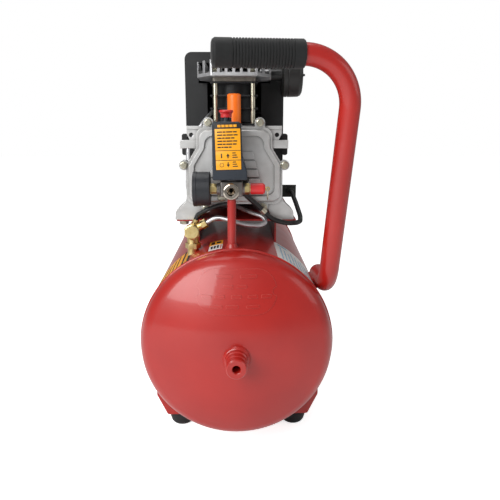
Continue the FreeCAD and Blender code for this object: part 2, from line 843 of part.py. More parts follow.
def side_lug(side):
    """Bright lug beside the crankcase with the pierced web that carries the ledge."""
    near, far = sorted((side * 50.0, side * lug_reach))
    lug = block(pump_at(near, case_front_back, lug_rises[0]),
                pump_at(far, case_front_back + lug_depth, lug_rises[1]))
    outline = ((50, case_top - 3), (case_low_half - 1.5, case_top - 3), (case_low_half - 1.5, case_top - 10),
               (case_top_half + 2, lug_rises[0] - 4), (50, lug_rises[0] - 4))
    corners = [pump_at(side * x, case_front_back + 2, z) for x, z in outline]
    web = Part.Face(Part.makePolygon(corners + [corners[0]])).extrude(Y * 5)
    hole = rod(3.6, 20, pump_at(side * (case_top_half + 8), case_front_back - 4, case_top - 12), Y)
    return [soften(lug, 1.5, lambda middle, along: abs(along.x) > 0.9), web.cut(hole)]


def crankcase():
    """Hollow casting: front flange, body, legs, ledge, lugs, cylinder seat and bearing seat."""
    inset = -case_body_inset
    flange = with_ears(case_outline(0.0, case_front_back, case_flange), case_front_back, case_flange)
    body = case_outline(inset, case_front_back, case_depth)
    ledge_half = case_low_half - 1.5
    ledge = block(pump_at(-ledge_half, case_front_back, case_top - 3),
                  pump_at(ledge_half, case_front_back + ledge_depth, case_top + 2))
    roof = block(pump_at(-roof_half, case_front_back, case_top - 4),
                 pump_at(roof_half, case_rear_back, case_top + 2))
    filler = rod(breather_skirt + 6, 5, pump_at(0, breather_back, case_top))
    seat = rod(bearing_outer + 2.5, 8, pump_at(0, case_rear_back, 0), Y)
    whole = join(flange, body, ledge, roof, leg(-1), leg(1), *side_lug(-1), *side_lug(1), filler, seat)
    hollow_depth = case_depth - case_wall - past
    whole = whole.cut(case_outline(inset - case_wall, case_front_back - past, hollow_depth))
    whole = whole.cut(rod(bearing_outer, 60, pump_at(0, case_rear_back - case_wall - 10, 0), Y))
    whole = whole.cut(rod(barrel_radius - 1.0, 30, pump_at(0, cylinder_back, case_top - 15)))
    whole = whole.cut(rod(breather_skirt, 30, pump_at(0, breather_back, case_top - 15)))
    for x in (-stud_x, stud_x):
        for y in (-stud_y, stud_y):
            whole = whole.cut(rod(stud_radius, 12, pump_at(x, cylinder_back + y, case_top - 4)))
    for side in (-1, 1):
        for back in foot_bolt_backs:
            foot_hole = pump_at(side * foot_bolt_x, back, deck_drop - past)
            whole = whole.cut(rod(foot_bolt_radius, 22, foot_hole))
    whole = bolt_holes(whole, case_front_back - past, 12, cover_bolt_radius)
    # the hollow's tool also trims the flange's inner edge, so the sealing lip is put back
    lip = case_outline(inset, case_front_back, 1.0)
    lip = lip.cut(case_outline(inset - case_wall, case_front_back - past, 3.0))
    return join(whole, bolt_holes(lip, case_front_back - past, 3, cover_bolt_radius))


def cover_gasket():
    """Paper gasket with the flange's outline."""
    paper = with_ears(case_outline(0.0, gasket_back, gasket_thickness), gasket_back, gasket_thickness)
    paper = paper.cut(case_outline(-case_body_inset - case_wall, gasket_back - past, gasket_thickness + 2))
    return bolt_holes(paper, gasket_back - past, 4, cover_bolt_radius)


def louvre(rise, half_low, half_high, height, reach):
    """One horizontal step of the cover's middle panel."""
    points = [pump_at(x, recess_back + 0.2, z) for x, z in
              ((-half_low, rise), (half_low, rise), (half_high, rise + height), (-half_high, rise + height))]
    return Part.Face(Part.makePolygon(points + [points[0]])).extrude(-Y * reach)


def crankcase_cover():
    """Cover with its bolting flange, bevelled rim, sunk panel with steps, and two ports."""
    flange = with_ears(case_outline(0.0, cover_back, cover_flange), cover_back, cover_flange)
    dome = case_outline(-4.0, dome_back, cover_dome)
    front_edges = [edge for edge in dome.Edges if abs(edge.CenterOfMass.y - (seam_y + dome_back)) < 0.1]
    dome = dome.makeChamfer(2.0, front_edges)
    recess = case_outline(-13.0, dome_back - 1, 5.0)
    back_hollow = case_outline(-8.0, cover_back - 1.0, cover_flange + 2)
    cover = join(flange, dome).cut(recess).cut(back_hollow)
    steps = []
    for i in range(cover_steps):
        rise = -44.0 + 14.0 * i
        steps.append(louvre(rise, 46.0 - 3.5 * i, 43.5 - 3.5 * i, 11.0, 5.6 - 0.8 * i))
    cover = join(cover, *steps)
    cover = cover.cut(rod(sight_radius, 30, pump_at(0, dome_back - 6, sight_rise), Y))
    cover = cover.cut(rod(plug_radius, 30, pump_at(plug_x, dome_back - 6, plug_rise), Y))
    cover = cover.cut(rod(plug_washer_radius, 12, pump_at(plug_x, recess_back, plug_rise), -Y))
    return bolt_holes(cover, dome_back - 4, 20, cover_bolt_radius)


def sight_glass():
    """Threaded window ring with its lens, flush inside the cover."""
    profile = [(0, 0), (sight_radius, 0), (sight_radius, -8.5), (sight_radius + 2, -8.5),
               (sight_radius + 2, -10.5), (sight_radius - 2.5, -11.0), (sight_radius - 2.5, -8.5), (0, -8.0)]
    return turned(profile, pump_at(0, recess_back - 0.1, sight_rise), Y)


def oil_drain_plug():
    """Hexagon plug on its washer."""
    seat = pump_at(plug_x, recess_back, plug_rise)
    washer = 1.5
    return join(rod(plug_radius, 3.0, seat, Y), rod(plug_washer_radius, washer, seat, -Y),
                hexagon(2 * plug_radius, 4.0, seat - Y * washer, -Y))


def cover_bolt(x, z, lift):
    """Bolt of the cover; lift is the thickness of what lies under its washer."""
    start = pump_at(x, cover_back - lift, z)
    shank = rod(cover_bolt_radius, cover_flange + gasket_thickness + case_flange + lift, start, Y)
    return join(shank, rod(6.0, 1.0, start, -Y), hexagon(10.0, 4.4, start - Y * 1.0, -Y, 0.8))


def foot_bolt(x, back):
    """Bolt up through the deck into a crankcase foot."""
    under = pump_at(x, back, deck_drop) - Z * sheet
    washer = 1.2
    return join(rod(foot_bolt_radius, 18 + sheet, under), rod(2 * foot_bolt_radius, washer, under, -Z),
                hexagon(13.0, 5.3, under - Z * washer, -Z))


def hex_bolts():
    lifts = [clip_thickness if i == clip_bolt else 0.0 for i in range(len(bolt_places))]
    bolts = [cover_bolt(x, z, lift) for (x, z), lift in zip(bolt_places, lifts)]
    for side in (-1, 1):
        bolts += [foot_bolt(side * foot_bolt_x, back) for back in foot_bolt_backs]
    return bolts


def breather_cap():
    """Tall filler cap with a dished top; its skirt plugs into the crankcase."""
    base = pump_at(0, breather_back, case_top + 5)
    outer = breather_radius
    top = breather_height
    profile = [(0, -9), (breather_skirt, -9), (breather_skirt, 0), (outer, 0), (outer, top - 1.5),
               (outer - 1.5, top), (outer - 3.5, top), (outer - 4.0, top - 2.5), (0, top - 2.5)]
    return turned(profile, base, Z)


save("crankcase", crankcase())
save("cover_gasket", cover_gasket())
save("crankcase_cover", crankcase_cover())
save("sight_glass", sight_glass())
save("oil_drain_plug", oil_drain_plug())
save("hex_bolts", *hex_bolts())
save("breather_cap", breather_cap())

# ---- cylinder, valve plate and head -------------------------------------------------------------------

def cut_for_studs(body, radius, base_rise, height):
    for x in (-stud_x, stud_x):
        for y in (-stud_y, stud_y):
            body = body.cut(rod(radius, height, pump_at(x, cylinder_back + y, base_rise)))
    return body


def square_fin(rise, thickness):
    half = fin_half_width
    fin = block(pump_at(-half, cylinder_back - half, rise),
                pump_at(half, cylinder_back + half, rise + thickness))
    return soften(fin, 4.0, lambda middle, along: abs(along.z) > 0.9)


def cylinder():
    """Cast barrel with a foot flange, square fins, a top flange and the liner's spigot."""
    base = pump_at(0, cylinder_back, barrel_base)
    barrel = rod(barrel_radius, cylinder_height, base)
    spigot = rod(barrel_radius - 1.0, 8.0, base - Z * 8)
    fins = [square_fin(barrel_base, 4.0), square_fin(cylinder_top - 3.0, 3.0)]
    count = int((cylinder_height - 6) / fin_pitch)
    fins += [square_fin(cylinder_top - 3.0 - fin_pitch * (i + 1), fin_thickness) for i in range(count)]
    whole = join(barrel, spigot, *fins).cut(rod(bore_radius, cylinder_height + 20, base - Z * 10))
    whole = cut_for_studs(whole, stud_radius, barrel_base - 1, cylinder_height + 2)
    for x in (-stud_x, stud_x):
        for side in (-1, 1):
            low = cylinder_back + side * stud_y
            far = cylinder_back + side * (fin_half_width + 2)
            slot = block(pump_at(x - stud_radius, min(low, far), barrel_base + 6),
                         pump_at(x + stud_radius, max(low, far), cylinder_top - 4))
            whole = whole.cut(slot)
    return whole


def stud(x, y):
    base = pump_at(x, cylinder_back + y, case_top - 4)
    top_rise = head_base + head_plate
    length = top_rise - (case_top - 4) + 11
    top = pump_at(x, cylinder_back + y, top_rise)
    return join(rod(stud_radius, length, base), rod(7.5, 1.4, top), hexagon(12.0, 6.0, top + Z * 1.4))


def valve_plate():
    """Steel plate between barrel and head, with its two ports."""
    half = fin_half_width - 3
    slab = block(pump_at(-half, cylinder_back - half - 5, cylinder_top),
                 pump_at(half, cylinder_back + half + 5, head_base))
    slab = soften(slab, 5.0, lambda middle, along: abs(along.z) > 0.9)
    slab = slab.cut(rod(5.0, 20, pump_at(-10, cylinder_back, cylinder_top - 5)))
    slab = slab.cut(rod(5.0, 20, pump_at(10, cylinder_back, cylinder_top - 5)))
    return cut_for_studs(slab, stud_radius, cylinder_top - 1, valve_plate_thickness + 2)


def octagon(rise, height, grow=0.0):
    wide = head_half_width + grow
    deep = head_half_depth + grow
    front = head_front_half + grow * 0.4
    side = 31.0 + grow * 0.4
    points = [(front, -deep), (wide, -side), (wide, side), (front, deep),
              (-front, deep), (-wide, side), (-wide, -side), (-front, -deep)]
    corners = [pump_at(x, cylinder_back + y, rise) for x, y in points]
    return plate(corners, 3.0, Z * height)


def cylinder_head():
    """Octagonal plate with tall fins along Y and two chambers underneath."""
    whole = octagon(head_base, head_plate + head_fin_height)
    pitch = 2 * head_half_width / head_fins
    fin = 4.0
    for i in range(head_fins):
        left = -head_half_width + (i + 0.5) * pitch - (pitch - fin) / 2
        gap = block(pump_at(left, cylinder_back - 90, head_base + head_plate),
                    pump_at(left + pitch - fin, cylinder_back + 90, head_base + 60))
        core = block(pump_at(-70, cylinder_back - 12, head_base),
                     pump_at(70, cylinder_back + 12, head_base + head_plate + 7))
        whole = whole.cut(gap.cut(core))
    for x in (-stud_x, stud_x):
        for y in (-stud_y, stud_y):
            spot = pump_at(x, cylinder_back + y, head_base + head_plate)
            whole = whole.cut(rod(nut_clearance, 60, spot))
    port = rod(port_radius, 16, pump_at(port_x, cylinder_back + head_half_depth - 14, port_rise), Y)
    inlet = rod(port_radius, 18, pump_at(head_half_width - 16, cylinder_back, filter_rise), X)
    whole = join(whole, port, inlet)
    for x in (-16, 16):
        chamber = block(pump_at(x - 13, cylinder_back - 14, head_base - past),
                        pump_at(x + 13, cylinder_back + 14, head_base + 3.5))
        whole = whole.cut(soften(chamber, 4.0, lambda middle, along: abs(along.z) > 0.9))
    whole = whole.cut(rod(inlet_bore, 24, pump_at(head_half_width - 20, cylinder_back, filter_rise), X))
    outlet = pump_at(port_x, cylinder_back + head_half_depth - 18, port_rise)
    whole = whole.cut(rod(discharge_radius, 30, outlet, Y))
    return cut_for_studs(whole, stud_radius, head_base - 1, head_plate + 4)


def air_filter():
    """Round silencer canister on its side with a short stub, rear seam and wing nut."""
    base = pump_at(filter_x, cylinder_back, filter_rise)
    outer = filter_radius
    wide = filter_width
    stub = head_half_width + 2 - filter_x
    profile = [(0, stub - 6), (inlet_bore, stub - 6), (inlet_bore, stub), (port_radius, stub),
               (port_radius, 0), (outer - 3, 0), (outer, 2), (outer, 8), (outer - 0.8, 8.6),
               (outer - 0.8, 9.6), (outer, 10.2),
               (outer - 0.5, wide - 6), (outer - 2.5, wide - 2), (outer - 6, wide), (0, wide)]
    body = turned(profile, base, X)
    tip = base + X * wide
    nut = join(rod(5.0, 3.0, tip, X), rod(1.8, 6.0, tip, X),
               block(tip + Vector(0, -8, -1.2), tip + Vector(3.0, 8, 1.2)))
    return join(body, nut)


save("cylinder", cylinder())
save("cylinder_studs", *[stud(x, y) for x in (-stud_x, stud_x) for y in (-stud_y, stud_y)])
save("valve_plate", valve_plate())
save("cylinder_head", cylinder_head())
save("air_filter", air_filter())

# ---- piston, rod and crank ----------------------------------------------------------------------------

def piston():
    """Skirted piston with two ring grooves filled by its rings, at the top of its stroke."""
    outer = bore_radius - running
    top = piston_top
    base = pump_at(0, cylinder_back, top - piston_length)
    length = piston_length
    inner = outer - piston_skirt
    crown = length - 6
    body = turned([(inner, 0), (outer, 0), (outer, length), (0, length), (0, crown), (inner, crown)], base, Z)
    for drop in (6.5, 10.5):
        body = body.cut(ring(outer + 2, outer - 0.5, 0.6, base + Z * (length - drop)))
    return body.cut(rod(wrist_radius, 60, pump_at(0, cylinder_back - 30, wrist_rise), Y))


def piston_pins():
    reach = bore_radius - 3.0
    wrist = rod(wrist_radius, 2 * reach, pump_at(0, cylinder_back - reach, wrist_rise), Y)
    crank = rod(crankpin_radius, web_front_back - guide - (cylinder_back - rod_depth / 2 - 2),
                pump_at(0, cylinder_back - rod_depth / 2 - 2, crank_throw), Y)
    return wrist, crank


def connecting_rod():
    front = cylinder_back - rod_depth / 2
    big = rod(16.0, rod_depth, pump_at(0, front, crank_throw), Y)
    small = rod(9.5, rod_depth, pump_at(0, front, wrist_rise), Y)
    shank = block(pump_at(-7, front + 2, crank_throw), pump_at(7, front + rod_depth - 2, wrist_rise))
    whole = join(big, small, shank)
    whole = whole.cut(rod(crankpin_radius, 40, pump_at(0, front - 10, crank_throw), Y))
    return whole.cut(rod(wrist_radius, 40, pump_at(0, front - 10, wrist_rise), Y))


def crank_web():
    """Disc with its counterweight side left full and the pin side relieved."""
    disc = rod(crank_web_radius, crank_web_thickness, pump_at(0, web_front_back, 0), Y)
    relief = block(pump_at(-40, web_front_back - 1, crank_throw + 10), pump_at(40, web_front_back + 20, 60))
    return disc.cut(relief).cut(rod(shaft_radius, 20, pump_at(0, web_front_back - 2, 0), Y))


save("piston", piston())
save("piston_pins", *piston_pins())
save("connecting_rod", connecting_rod())
save("crank_web", crank_web())

# ---- motor --------------------------------------------------------------------------------------------

def motor_shaft():
    return rod(shaft_radius, shaft_rear_back - web_front_back, pump_at(0, web_front_back, 0), Y)


def shaft_bearings():
    return [ring(bearing_outer, shaft_radius + running, bearing_width, pump_at(0, back, 0), Y)
            for back in bearing_backs]


def motor_rotor():
    front = pump_at(0, rotor_front_back, 0)
    core = ring(rotor_radius, shaft_radius, stator_length, front, Y)
    end_rings = ring(rotor_radius - 4, rotor_radius - 16, stator_length + 16, front - Y * 8, Y)
    return join(core, end_rings)


def motor_stator():
    front = pump_at(0, rotor_front_back, 0)
    core = ring(motor_radius - motor_wall, rotor_radius + air_gap, stator_length, front, Y)
    coils = ring(motor_radius - motor_wall - 5, rotor_radius + 8, stator_length + 36, front - Y * 18, Y)
    return join(core, coils)


def motor_housing():
    front = pump_at(0, motor_front_back, 0)
    tube_part = ring(motor_radius, motor_radius - motor_wall, motor_length, front, Y)
    low = pump_at(-46, motor_foot_back - 22, deck_drop)
    foot = block(low, pump_at(46, motor_foot_back + 22, -40))
    foot = foot.cut(rod(motor_radius - 1, motor_length + 20, front - Y * 10, Y))
    whole = join(tube_part, foot)
    for side in (-1, 1):
        bolt = pump_at(side * motor_foot_bolt_x, motor_foot_back, deck_drop - past)
        whole = whole.cut(rod(motor_foot_bolt_radius, 12, bolt))
    return whole


def motor_shield(back, seat_back):
    """Ventilated end shield with its bearing seat."""
    disc = ring(motor_radius - motor_wall, shield_seat_radius - 2, shield_thickness, pump_at(0, back, 0), Y)
    seat = ring(shield_seat_radius, bearing_outer, bearing_width + 2, pump_at(0, seat_back, 0), Y)
    whole = join(disc, seat)
    pitch_radius = (motor_radius - motor_wall + shield_seat_radius) / 2 - 1
    vent_radius = (motor_radius - motor_wall - shield_seat_radius) / 2 - 14
    for i in range(8):
        angle = math.radians(45 * i + 22.5)
        spot = pump_at(pitch_radius * math.cos(angle), back - 10, pitch_radius * math.sin(angle))
        whole = whole.cut(rod(vent_radius, 30, spot, Y))
    return whole.cut(rod(bearing_outer, 60, pump_at(0, back - 20, 0), Y))


def cooling_fan():
    """Hub with nine pitched blades."""
    back = shroud_front_back + 8.0
    depth = fan_depth
    hub = ring(fan_hub_radius, shaft_radius, depth, pump_at(0, back, 0), Y)
    blades = []
    for i in range(fan_blades):
        blade = block(Vector(-1.1, -15, fan_hub_radius - 4), Vector(1.1, 15, fan_radius))
        blade.rotate(Vector(0, 0, 0), Z, 38)
        blade.rotate(Vector(0, 0, 0), Y, 360 / fan_blades * i)
        blades.append(blade.translated(pump_at(0, back + depth / 2, 0)))
    sweep = rod(fan_radius, depth, pump_at(0, back, 0), Y)
    sweep = sweep.cut(rod(shaft_radius, depth, pump_at(0, back, 0), Y))
    return join(hub, *blades).common(sweep)


save("motor_shaft", motor_shaft())
save("shaft_bearings", *shaft_bearings())
save("motor_rotor", motor_rotor())
save("motor_stator", motor_stator())
save("motor_housing", motor_housing())
save("motor_shields", motor_shield(motor_front_back, bearing_backs[1] - 2),
     motor_shield(motor_front_back + motor_length - shield_thickness, bearing_backs[2]))
save("cooling_fan", cooling_fan())

# ---- shroud -------------------------------------------------------------------------------------------

def shroud_body(inset):
    """Moulded cowl as a solid: tall over the cylinder, then down to the motor."""
    half = shroud_half_width - inset
    high = shroud_top_rise - inset
    low = shroud_low_top - inset
    front = shroud_front_back + inset
    rear = shroud_rear_back - inset
    bottom = shroud_bottom - (10 if inset > 0 else 0)
    side = [(front, bottom), (rear, bottom), (rear, low), (shroud_slope_end, low), (shroud_slope_start, high),
            (front, high)]
    points = [pump_at(-half, back, rise) for back, rise in side]
    body = plate(points, [0, 0, 14.0, 26.0, 26.0, 0], X * 2 * half)
    lowest = tank_up + shaft_up
    return soften(body, max(12.0 - inset, 4.0),
                  lambda middle, along: abs(along.y) > 0.9 and middle.z > lowest)


def fan_shroud():
    """Shell of the cowl with its side bumps, the openings for cylinder and head, and the air slots."""
    shell = shroud_body(0.0).cut(shroud_body(shroud_wall))
    front = shroud_front_back
    for side in (-1, 1):
        x0, x1 = sorted((side * (shroud_half_width - 2.0), side * (shroud_half_width + shroud_bump)))
        bump = block(pump_at(x0, front - 4, 13), pump_at(x1, front + 26, 50))
        shell = shell.fuse(soften(bump, 4.0, lambda middle, along: abs(along.y) > 0.9))
    window_half = head_half_width + 3
    window = block(pump_at(-window_half, front - 6, head_base - 3),
                   pump_at(window_half, front + 5, head_base + 30))
    throat = block(pump_at(-fin_half_width - 9, front - 6, case_top + 12),
                   pump_at(fin_half_width + 8, front + 5, head_base))
    shell = shell.cut(window).cut(throat)
    shell = shell.cut(rod(40.0, 12, pump_at(0, front - 4, 0), Y))
    for i in range(9):
        rise = -62.0 + 13.0 * i
        slot = block(pump_at(-60, shroud_rear_back - 5, rise), pump_at(60, shroud_rear_back + 2, rise + 6))
        shell = shell.cut(slot)
    slot_half = shroud_half_width + 5
    for i in range(8):
        back = shroud_slope_end - 10 + 9.5 * i
        slot = block(pump_at(-slot_half, back, -30), pump_at(slot_half, back + 4.5, 45))
        shell = shell.cut(slot)
    return shell.removeSplitter()


save("fan_shroud", fan_shroud())

# ---- switch column ------------------------------------------------------------------------------------

def switch_manifold():
    """Die-cast four-way body under the switch, with a round boss for each port."""
    middle = at(column_x, column_back, manifold_up)
    half = manifold_half
    core = block(middle + Vector(-half, -14, -11), at(column_x + half, column_back + 14, switch_up - 2.5))
    core = soften(core, 3.0, lambda place, along: True)
    left = rod(9.0, 6, middle - X * (half - 1), -X)
    right = rod(9.0, 4, middle + X * (half - 1), X)
    neck = rod(stand_pipe_radius + 3.25, 5, middle - Z * 10, -Z)
    front = rod(9.2, 5, middle - Y * 13, -Y)
    cap = rod(12.0, switch_up - manifold_up + 1, middle - Z)
    whole = join(core, left, right, neck, front, cap)
    whole = whole.cut(rod(manifold_spigot, 80, middle - X * 35, X))
    whole = whole.cut(rod(manifold_spigot, 30, middle, -Y))
    pipe_end = at(column_x, column_back, tank_radius + stand_pipe_height)
    return whole.cut(rod(stand_pipe_radius - 0.6, 16, pipe_end))


def switch_cover():
    """Moulded switch case, tapering upwards, with a flared right-hand foot and a collar for the knob."""
    low = switch_up
    high = switch_up + switch_height
    front = switch_front_back
    left = switch_left_x
    right = switch_top_right_x
    foot = switch_foot_right_x
    flare = low + switch_flare_rise
    outline = [(left, low), (left, high), (right, high), (right + 2, flare), (foot, low + 12), (foot, low)]
    corners = [at(x, front, up) for x, up in outline]
    body = plate(corners, [3.0, 5.0, 5.0, 12.0, 6.0, 2.0], Y * switch_depth)
    edge_y = seam_y + front
    body = soften(body, 1.6, lambda middle, along: abs(middle.y - edge_y) < 0.01)
    wall = switch_wall
    inner = [(left + wall, low + 4), (left + wall, high - wall), (right - wall, high - wall),
             (right + 2 - wall, flare - 1), (foot - wall - 0.5, low + 11), (foot - wall - 0.5, low + 4)]
    hollow = plate([at(x, front + wall, up) for x, up in inner], 2.0, Y * (switch_depth - 2 * wall))
    collar = ring(plunger_radius + 3.0, plunger_radius + 0.5, knob_collar, at(knob_x, column_back, high))
    for i in range(6):
        slot = block(Vector(-1.2, plunger_radius + 0.8, 1.5),
                     Vector(1.2, plunger_radius + 5, knob_collar + past))
        slot.rotate(Vector(0, 0, 0), Z, 60 * i + 30)
        collar = collar.cut(slot.translated(at(knob_x, column_back, high)))
    whole = join(body.cut(hollow), collar)
    whole = whole.cut(rod(plunger_radius + running, 20, at(knob_x, column_back, high - 10)))
    return whole.cut(rod(lead_radius + 1.0, 5, at(column_x + gland_x, gland_back, low - 1)))


def switch_knob():
    """Mushroom knob on its plunger, pushed in."""
    base = at(knob_x, column_back, switch_up + switch_height)
    stem = plunger_radius
    under = knob_collar + guide
    profile = [(0, -22), (stem, -22), (stem, under), (8.2, under), (8.2, under + 4.5), (9.5, under + 7),
               (10.5, under + 7.7), (10.5, under + 9.5), (9.3, under + 10.7), (8.2, under + 10.7),
               (7.4, under + 9.9), (0, under + 9.9)]
    return turned(profile, base, Z)


def outlet_fitting():
    """Nickel-plated threaded outlet with a rolled mouth."""
    front = at(column_x, outlet_front_back, manifold_up)
    reach = column_back - 18 - outlet_front_back
    rim = outlet_radius
    spigot = manifold_spigot
    profile = [(outlet_bore, 0), (outlet_bore + 3.5, 0), (rim - 0.8, 0.6), (rim, 1.8), (rim, 6.0),
               (rim - 0.8, 7.2), (9.0, 8.0), (9.0, reach), (spigot, reach), (spigot, reach + 8),
               (3.0, reach + 8), (3.0, 16.0), (outlet_bore, 14.0)]
    return turned(profile, front, Y)


def brass_nipples():
    """Gauge nipple with its hexagon, and the hose barb under the switch."""
    face = at(gauge_back_x, column_back, manifold_up)
    left_port = column_x - manifold_half - 5
    hexa = hexagon(14.0, left_port - gauge_back_x, face, X)
    spigot = rod(manifold_spigot, 8, at(left_port, column_back, manifold_up), X)
    neck = rod(4.0, gauge_depth - gauge_well, face, -X)
    spindle = rod(gauge_spindle, gauge_depth - 5.5, face, -X)
    gauge_nipple = join(hexa, spigot, neck, spindle).cut(rod(1.5, 60, face - X * 10, X))
    barb_top = at(column_x, barb_back, switch_up - 6)
    barb = join(rod(hose_radius + 2, 6, barb_top), rod(hose_radius - 1.2, 10, barb_top - Z * 6))
    return gauge_nipple, barb


def gauge_case():
    """Steel cup with a rolled bezel, facing -X; the dial sits on its floor."""
    back = at(gauge_back_x, column_back, manifold_up)
    outer = gauge_radius
    depth = gauge_depth
    well = depth - gauge_well
    window = outer - gauge_bezel
    profile = [(4.0, 0), (outer - 2, 0), (outer - 0.6, 1.0), (outer - 0.6, depth - 6), (outer, depth - 5.5),
               (outer, depth - 1), (outer - 1, depth), (window, depth), (window, well), (4.0, well)]
    return turned(profile, back, -X)


def gauge_needle():
    """Needle on its spindle, at rest at the low end of the dial."""
    centre = at(gauge_face_x + gauge_well - guide, column_back, manifold_up)
    hub = rod(2.5, 1.6, centre, -X)
    length = gauge_radius - 7.0
    blade = block(centre + Vector(-1.2, -0.6, -6), centre + Vector(-0.4, 0.6, length))
    blade.rotate(centre, X, -135)
    return join(hub, blade).cut(rod(gauge_spindle + running, 8, centre + X * 2, -X))


def gauge_lens():
    """Flat window pressed into the bezel."""
    return rod(gauge_radius - gauge_bezel, 2.0, at(gauge_face_x + 1.0, column_back, manifold_up), X)


def relief_valve():
    """Brass safety valve body: spigot, hexagon and spring tube."""
    base = at(relief_base_x, column_back, manifold_up)
    reach = relief_tip_x - relief_base_x
    body = join(rod(manifold_spigot, 8, base, -X), hexagon(15.0, 8, base, X), rod(6.0, reach - 1, base, X))
    return body.cut(rod(relief_stem_radius + running, reach + 30, base - X * 12, X))


def relief_cap():
    """Red sleeve over the spring tube."""
    base = at(relief_base_x + 9, column_back, manifold_up)
    reach = relief_tip_x - relief_base_x - 9
    mouth = relief_stem_radius + guide
    outer = relief_cap_radius
    profile = [(6.0, 0), (outer, 0), (outer, reach - 3), (outer - 2, reach), (mouth, reach),
               (mouth, reach - 1), (6.0, reach - 1)]
    return turned(profile, base, X)


def relief_stem():
    """Valve stem that ends in a flat eye for the ring."""
    base = at(relief_base_x - 4, column_back, manifold_up)
    stem = rod(relief_stem_radius, eye_x - relief_base_x + 2, base, X)
    eye = rod(3.6, 3.0, at(eye_x, column_back - 1.5, manifold_up), Y)
    return join(stem, eye).cut(rod(1.6, 8, at(eye_x, column_back - 4, manifold_up), Y))


def relief_ring():
    """Wire ring that hangs in the stem's eye."""
    return Part.makeTorus(pull_ring_radius, pull_ring_wire,
                          at(eye_x, column_back, manifold_up - pull_ring_radius), X)


save("switch_manifold", switch_manifold())
save("switch_cover", switch_cover())
save("switch_knob", switch_knob())
save("outlet_fitting", outlet_fitting())
save("brass_nipples", *brass_nipples())
save("gauge_case", gauge_case())
save("gauge_needle", gauge_needle())
save("gauge_lens", gauge_lens())
save("relief_valve", relief_valve())
save("relief_cap", relief_cap())
save("relief_stem", relief_stem())
save("relief_ring", relief_ring())

# ---- pipes and cables ---------------------------------------------------------------------------------

valve_low = math.sqrt(tank_radius ** 2 - check_x ** 2)
valve_port_up = valve_low + check_rise
nut_heading = Vector(0.86, -0.10, 0.50).normalize()
hose_heading = Vector(0.30, -0.05, 0.95).normalize()


def check_valve():
    """Brass non-return valve: welded bung, hexagon body, front cap, outlet nut and hose spigot."""
    foot = at(check_x, check_back, valve_low - 6)
    centre = at(check_x, check_back, valve_port_up)
    bung = rod(check_bung_radius, 14, foot)
    lower = hexagon(22.0, 9, foot + Z * 14)
    body = rod(9.5, valve_port_up - valve_low - 8, foot + Z * 22)
    chest = rod(11.0, 14, centre + Y * 4, -Y)
    cap = hexagon(23.0, 8, centre - Y * 10, -Y, 1.6)
    branch = rod(6.5, 20, centre, nut_heading)
    nut = hexagon(13.0, 9, centre + nut_heading * 18, nut_heading)
    spigot = rod(4.6, 19, centre, hose_heading)
    whole = join(bung, lower, body, chest, cap, branch, nut, spigot)
    return whole.cut(rod(4.0, 30, foot - Z))


valve_centre = at(check_x, check_back, valve_port_up)
pipe_start = valve_centre + nut_heading * 27.0
hose_start = valve_centre + hose_heading * 19.0
port_back = cylinder_back + head_half_depth + 2.0
port_up = shaft_up + port_rise
gland_face = at(column_x + gland_x, gland_back, switch_up)
shroud_gland_face = at(shroud_gland_x, shroud_gland_back, deck_up + shroud_gland_rise)
discharge_route = [
    at(pump_x + port_x, port_back, port_up), at(pump_x + port_x, port_back + 20, port_up),
    at(-20, 208, deck_up + 198), at(-56, 152, deck_up + 158), at(-84, 148, deck_up + 116),
    at(-86, 146, deck_up + 36), at(-68, 142, deck_up + 17), at(-36, 134, deck_up + 16),
    at(2, 96, deck_up + 17), at(26, 69, deck_up + 11), at(43, 62, deck_up + 6), at(48, 56, deck_up - 2),
    at(37, 52, deck_up - 7), at(16, 48, deck_up - 5), at(-8, 48, deck_up + 2), pipe_start + nut_heading * 19.0,
    pipe_start]
hose_route = [
    hose_start, hose_start + hose_heading * 8.0, at(-46, 50, deck_up + 20), at(-26, 47, deck_up + 28),
    at(column_x, barb_back, deck_up + 30), at(column_x, barb_back, switch_up - 12)]
lead_route = [
    gland_face - Z * 12, gland_face - Z * 26, at(36, 50, deck_up + 24), at(58, 56, deck_up + 2),
    at(82, 57, deck_up - 4), at(104, 64, deck_up - 4), at(107, 92, deck_up + 2), at(103, 128, deck_up + 19),
    shroud_gland_face - Y * 30, shroud_gland_face - Y * 12]


def tangent_radii(route):
    """Bend radii that leave straight metal between neighbouring arcs."""
    radii = []
    for i in range(1, len(route) - 1):
        before = route[i - 1] - route[i]
        after = route[i + 1] - route[i]
        half = before.getAngle(after) / 2
        shorter = min(before.Length, after.Length)
        radii.append(min(0.45 * shorter * math.tan(half), bend_limit))
    return radii


def held_tube(name, route, radius):
    """Tube along a route, with its length, its volume's error and its radii printed."""
    radii = tangent_radii(route)
    shape = tube(route, radii, radius)
    path = rounded_path(route, radii)
    error = abs(shape.Volume / (math.pi * radius ** 2 * path.Length) - 1)
    print(f"{name}: length {path.Length:.0f} mm, volume error {100 * error:.2f} %, radii",
          " ".join(f"{value:.0f}" for value in radii))
    return shape


def cable_gland(face, heading):
    """Clamping gland with its dome nut; the cable leaves through the front."""
    body = join(rod(7.5, 3.0, face, heading), hexagon(12.5, 4.0, face + heading * 3.0, heading),
                rod(5.5, 5.0, face + heading * 7.0, heading))
    return body.cut(rod(lead_radius, 30, face - heading * 5, heading))


def cable_glands():
    """Gland under the switch, and the gland on the shroud's side with its tab."""
    tab_top = shroud_gland_rise + 11
    tab_bottom = shroud_gland_rise - 11
    tab = block(at(pump_x + shroud_half_width, shroud_gland_back, deck_up + tab_bottom),
                at(shroud_gland_x + 10, shroud_gland_back + 4, deck_up + tab_top))
    tab = tab.cut(rod(lead_radius, 30, shroud_gland_face - Y * 10, Y))
    return cable_gland(gland_face, -Z), join(cable_gland(shroud_gland_face, -Y), tab)


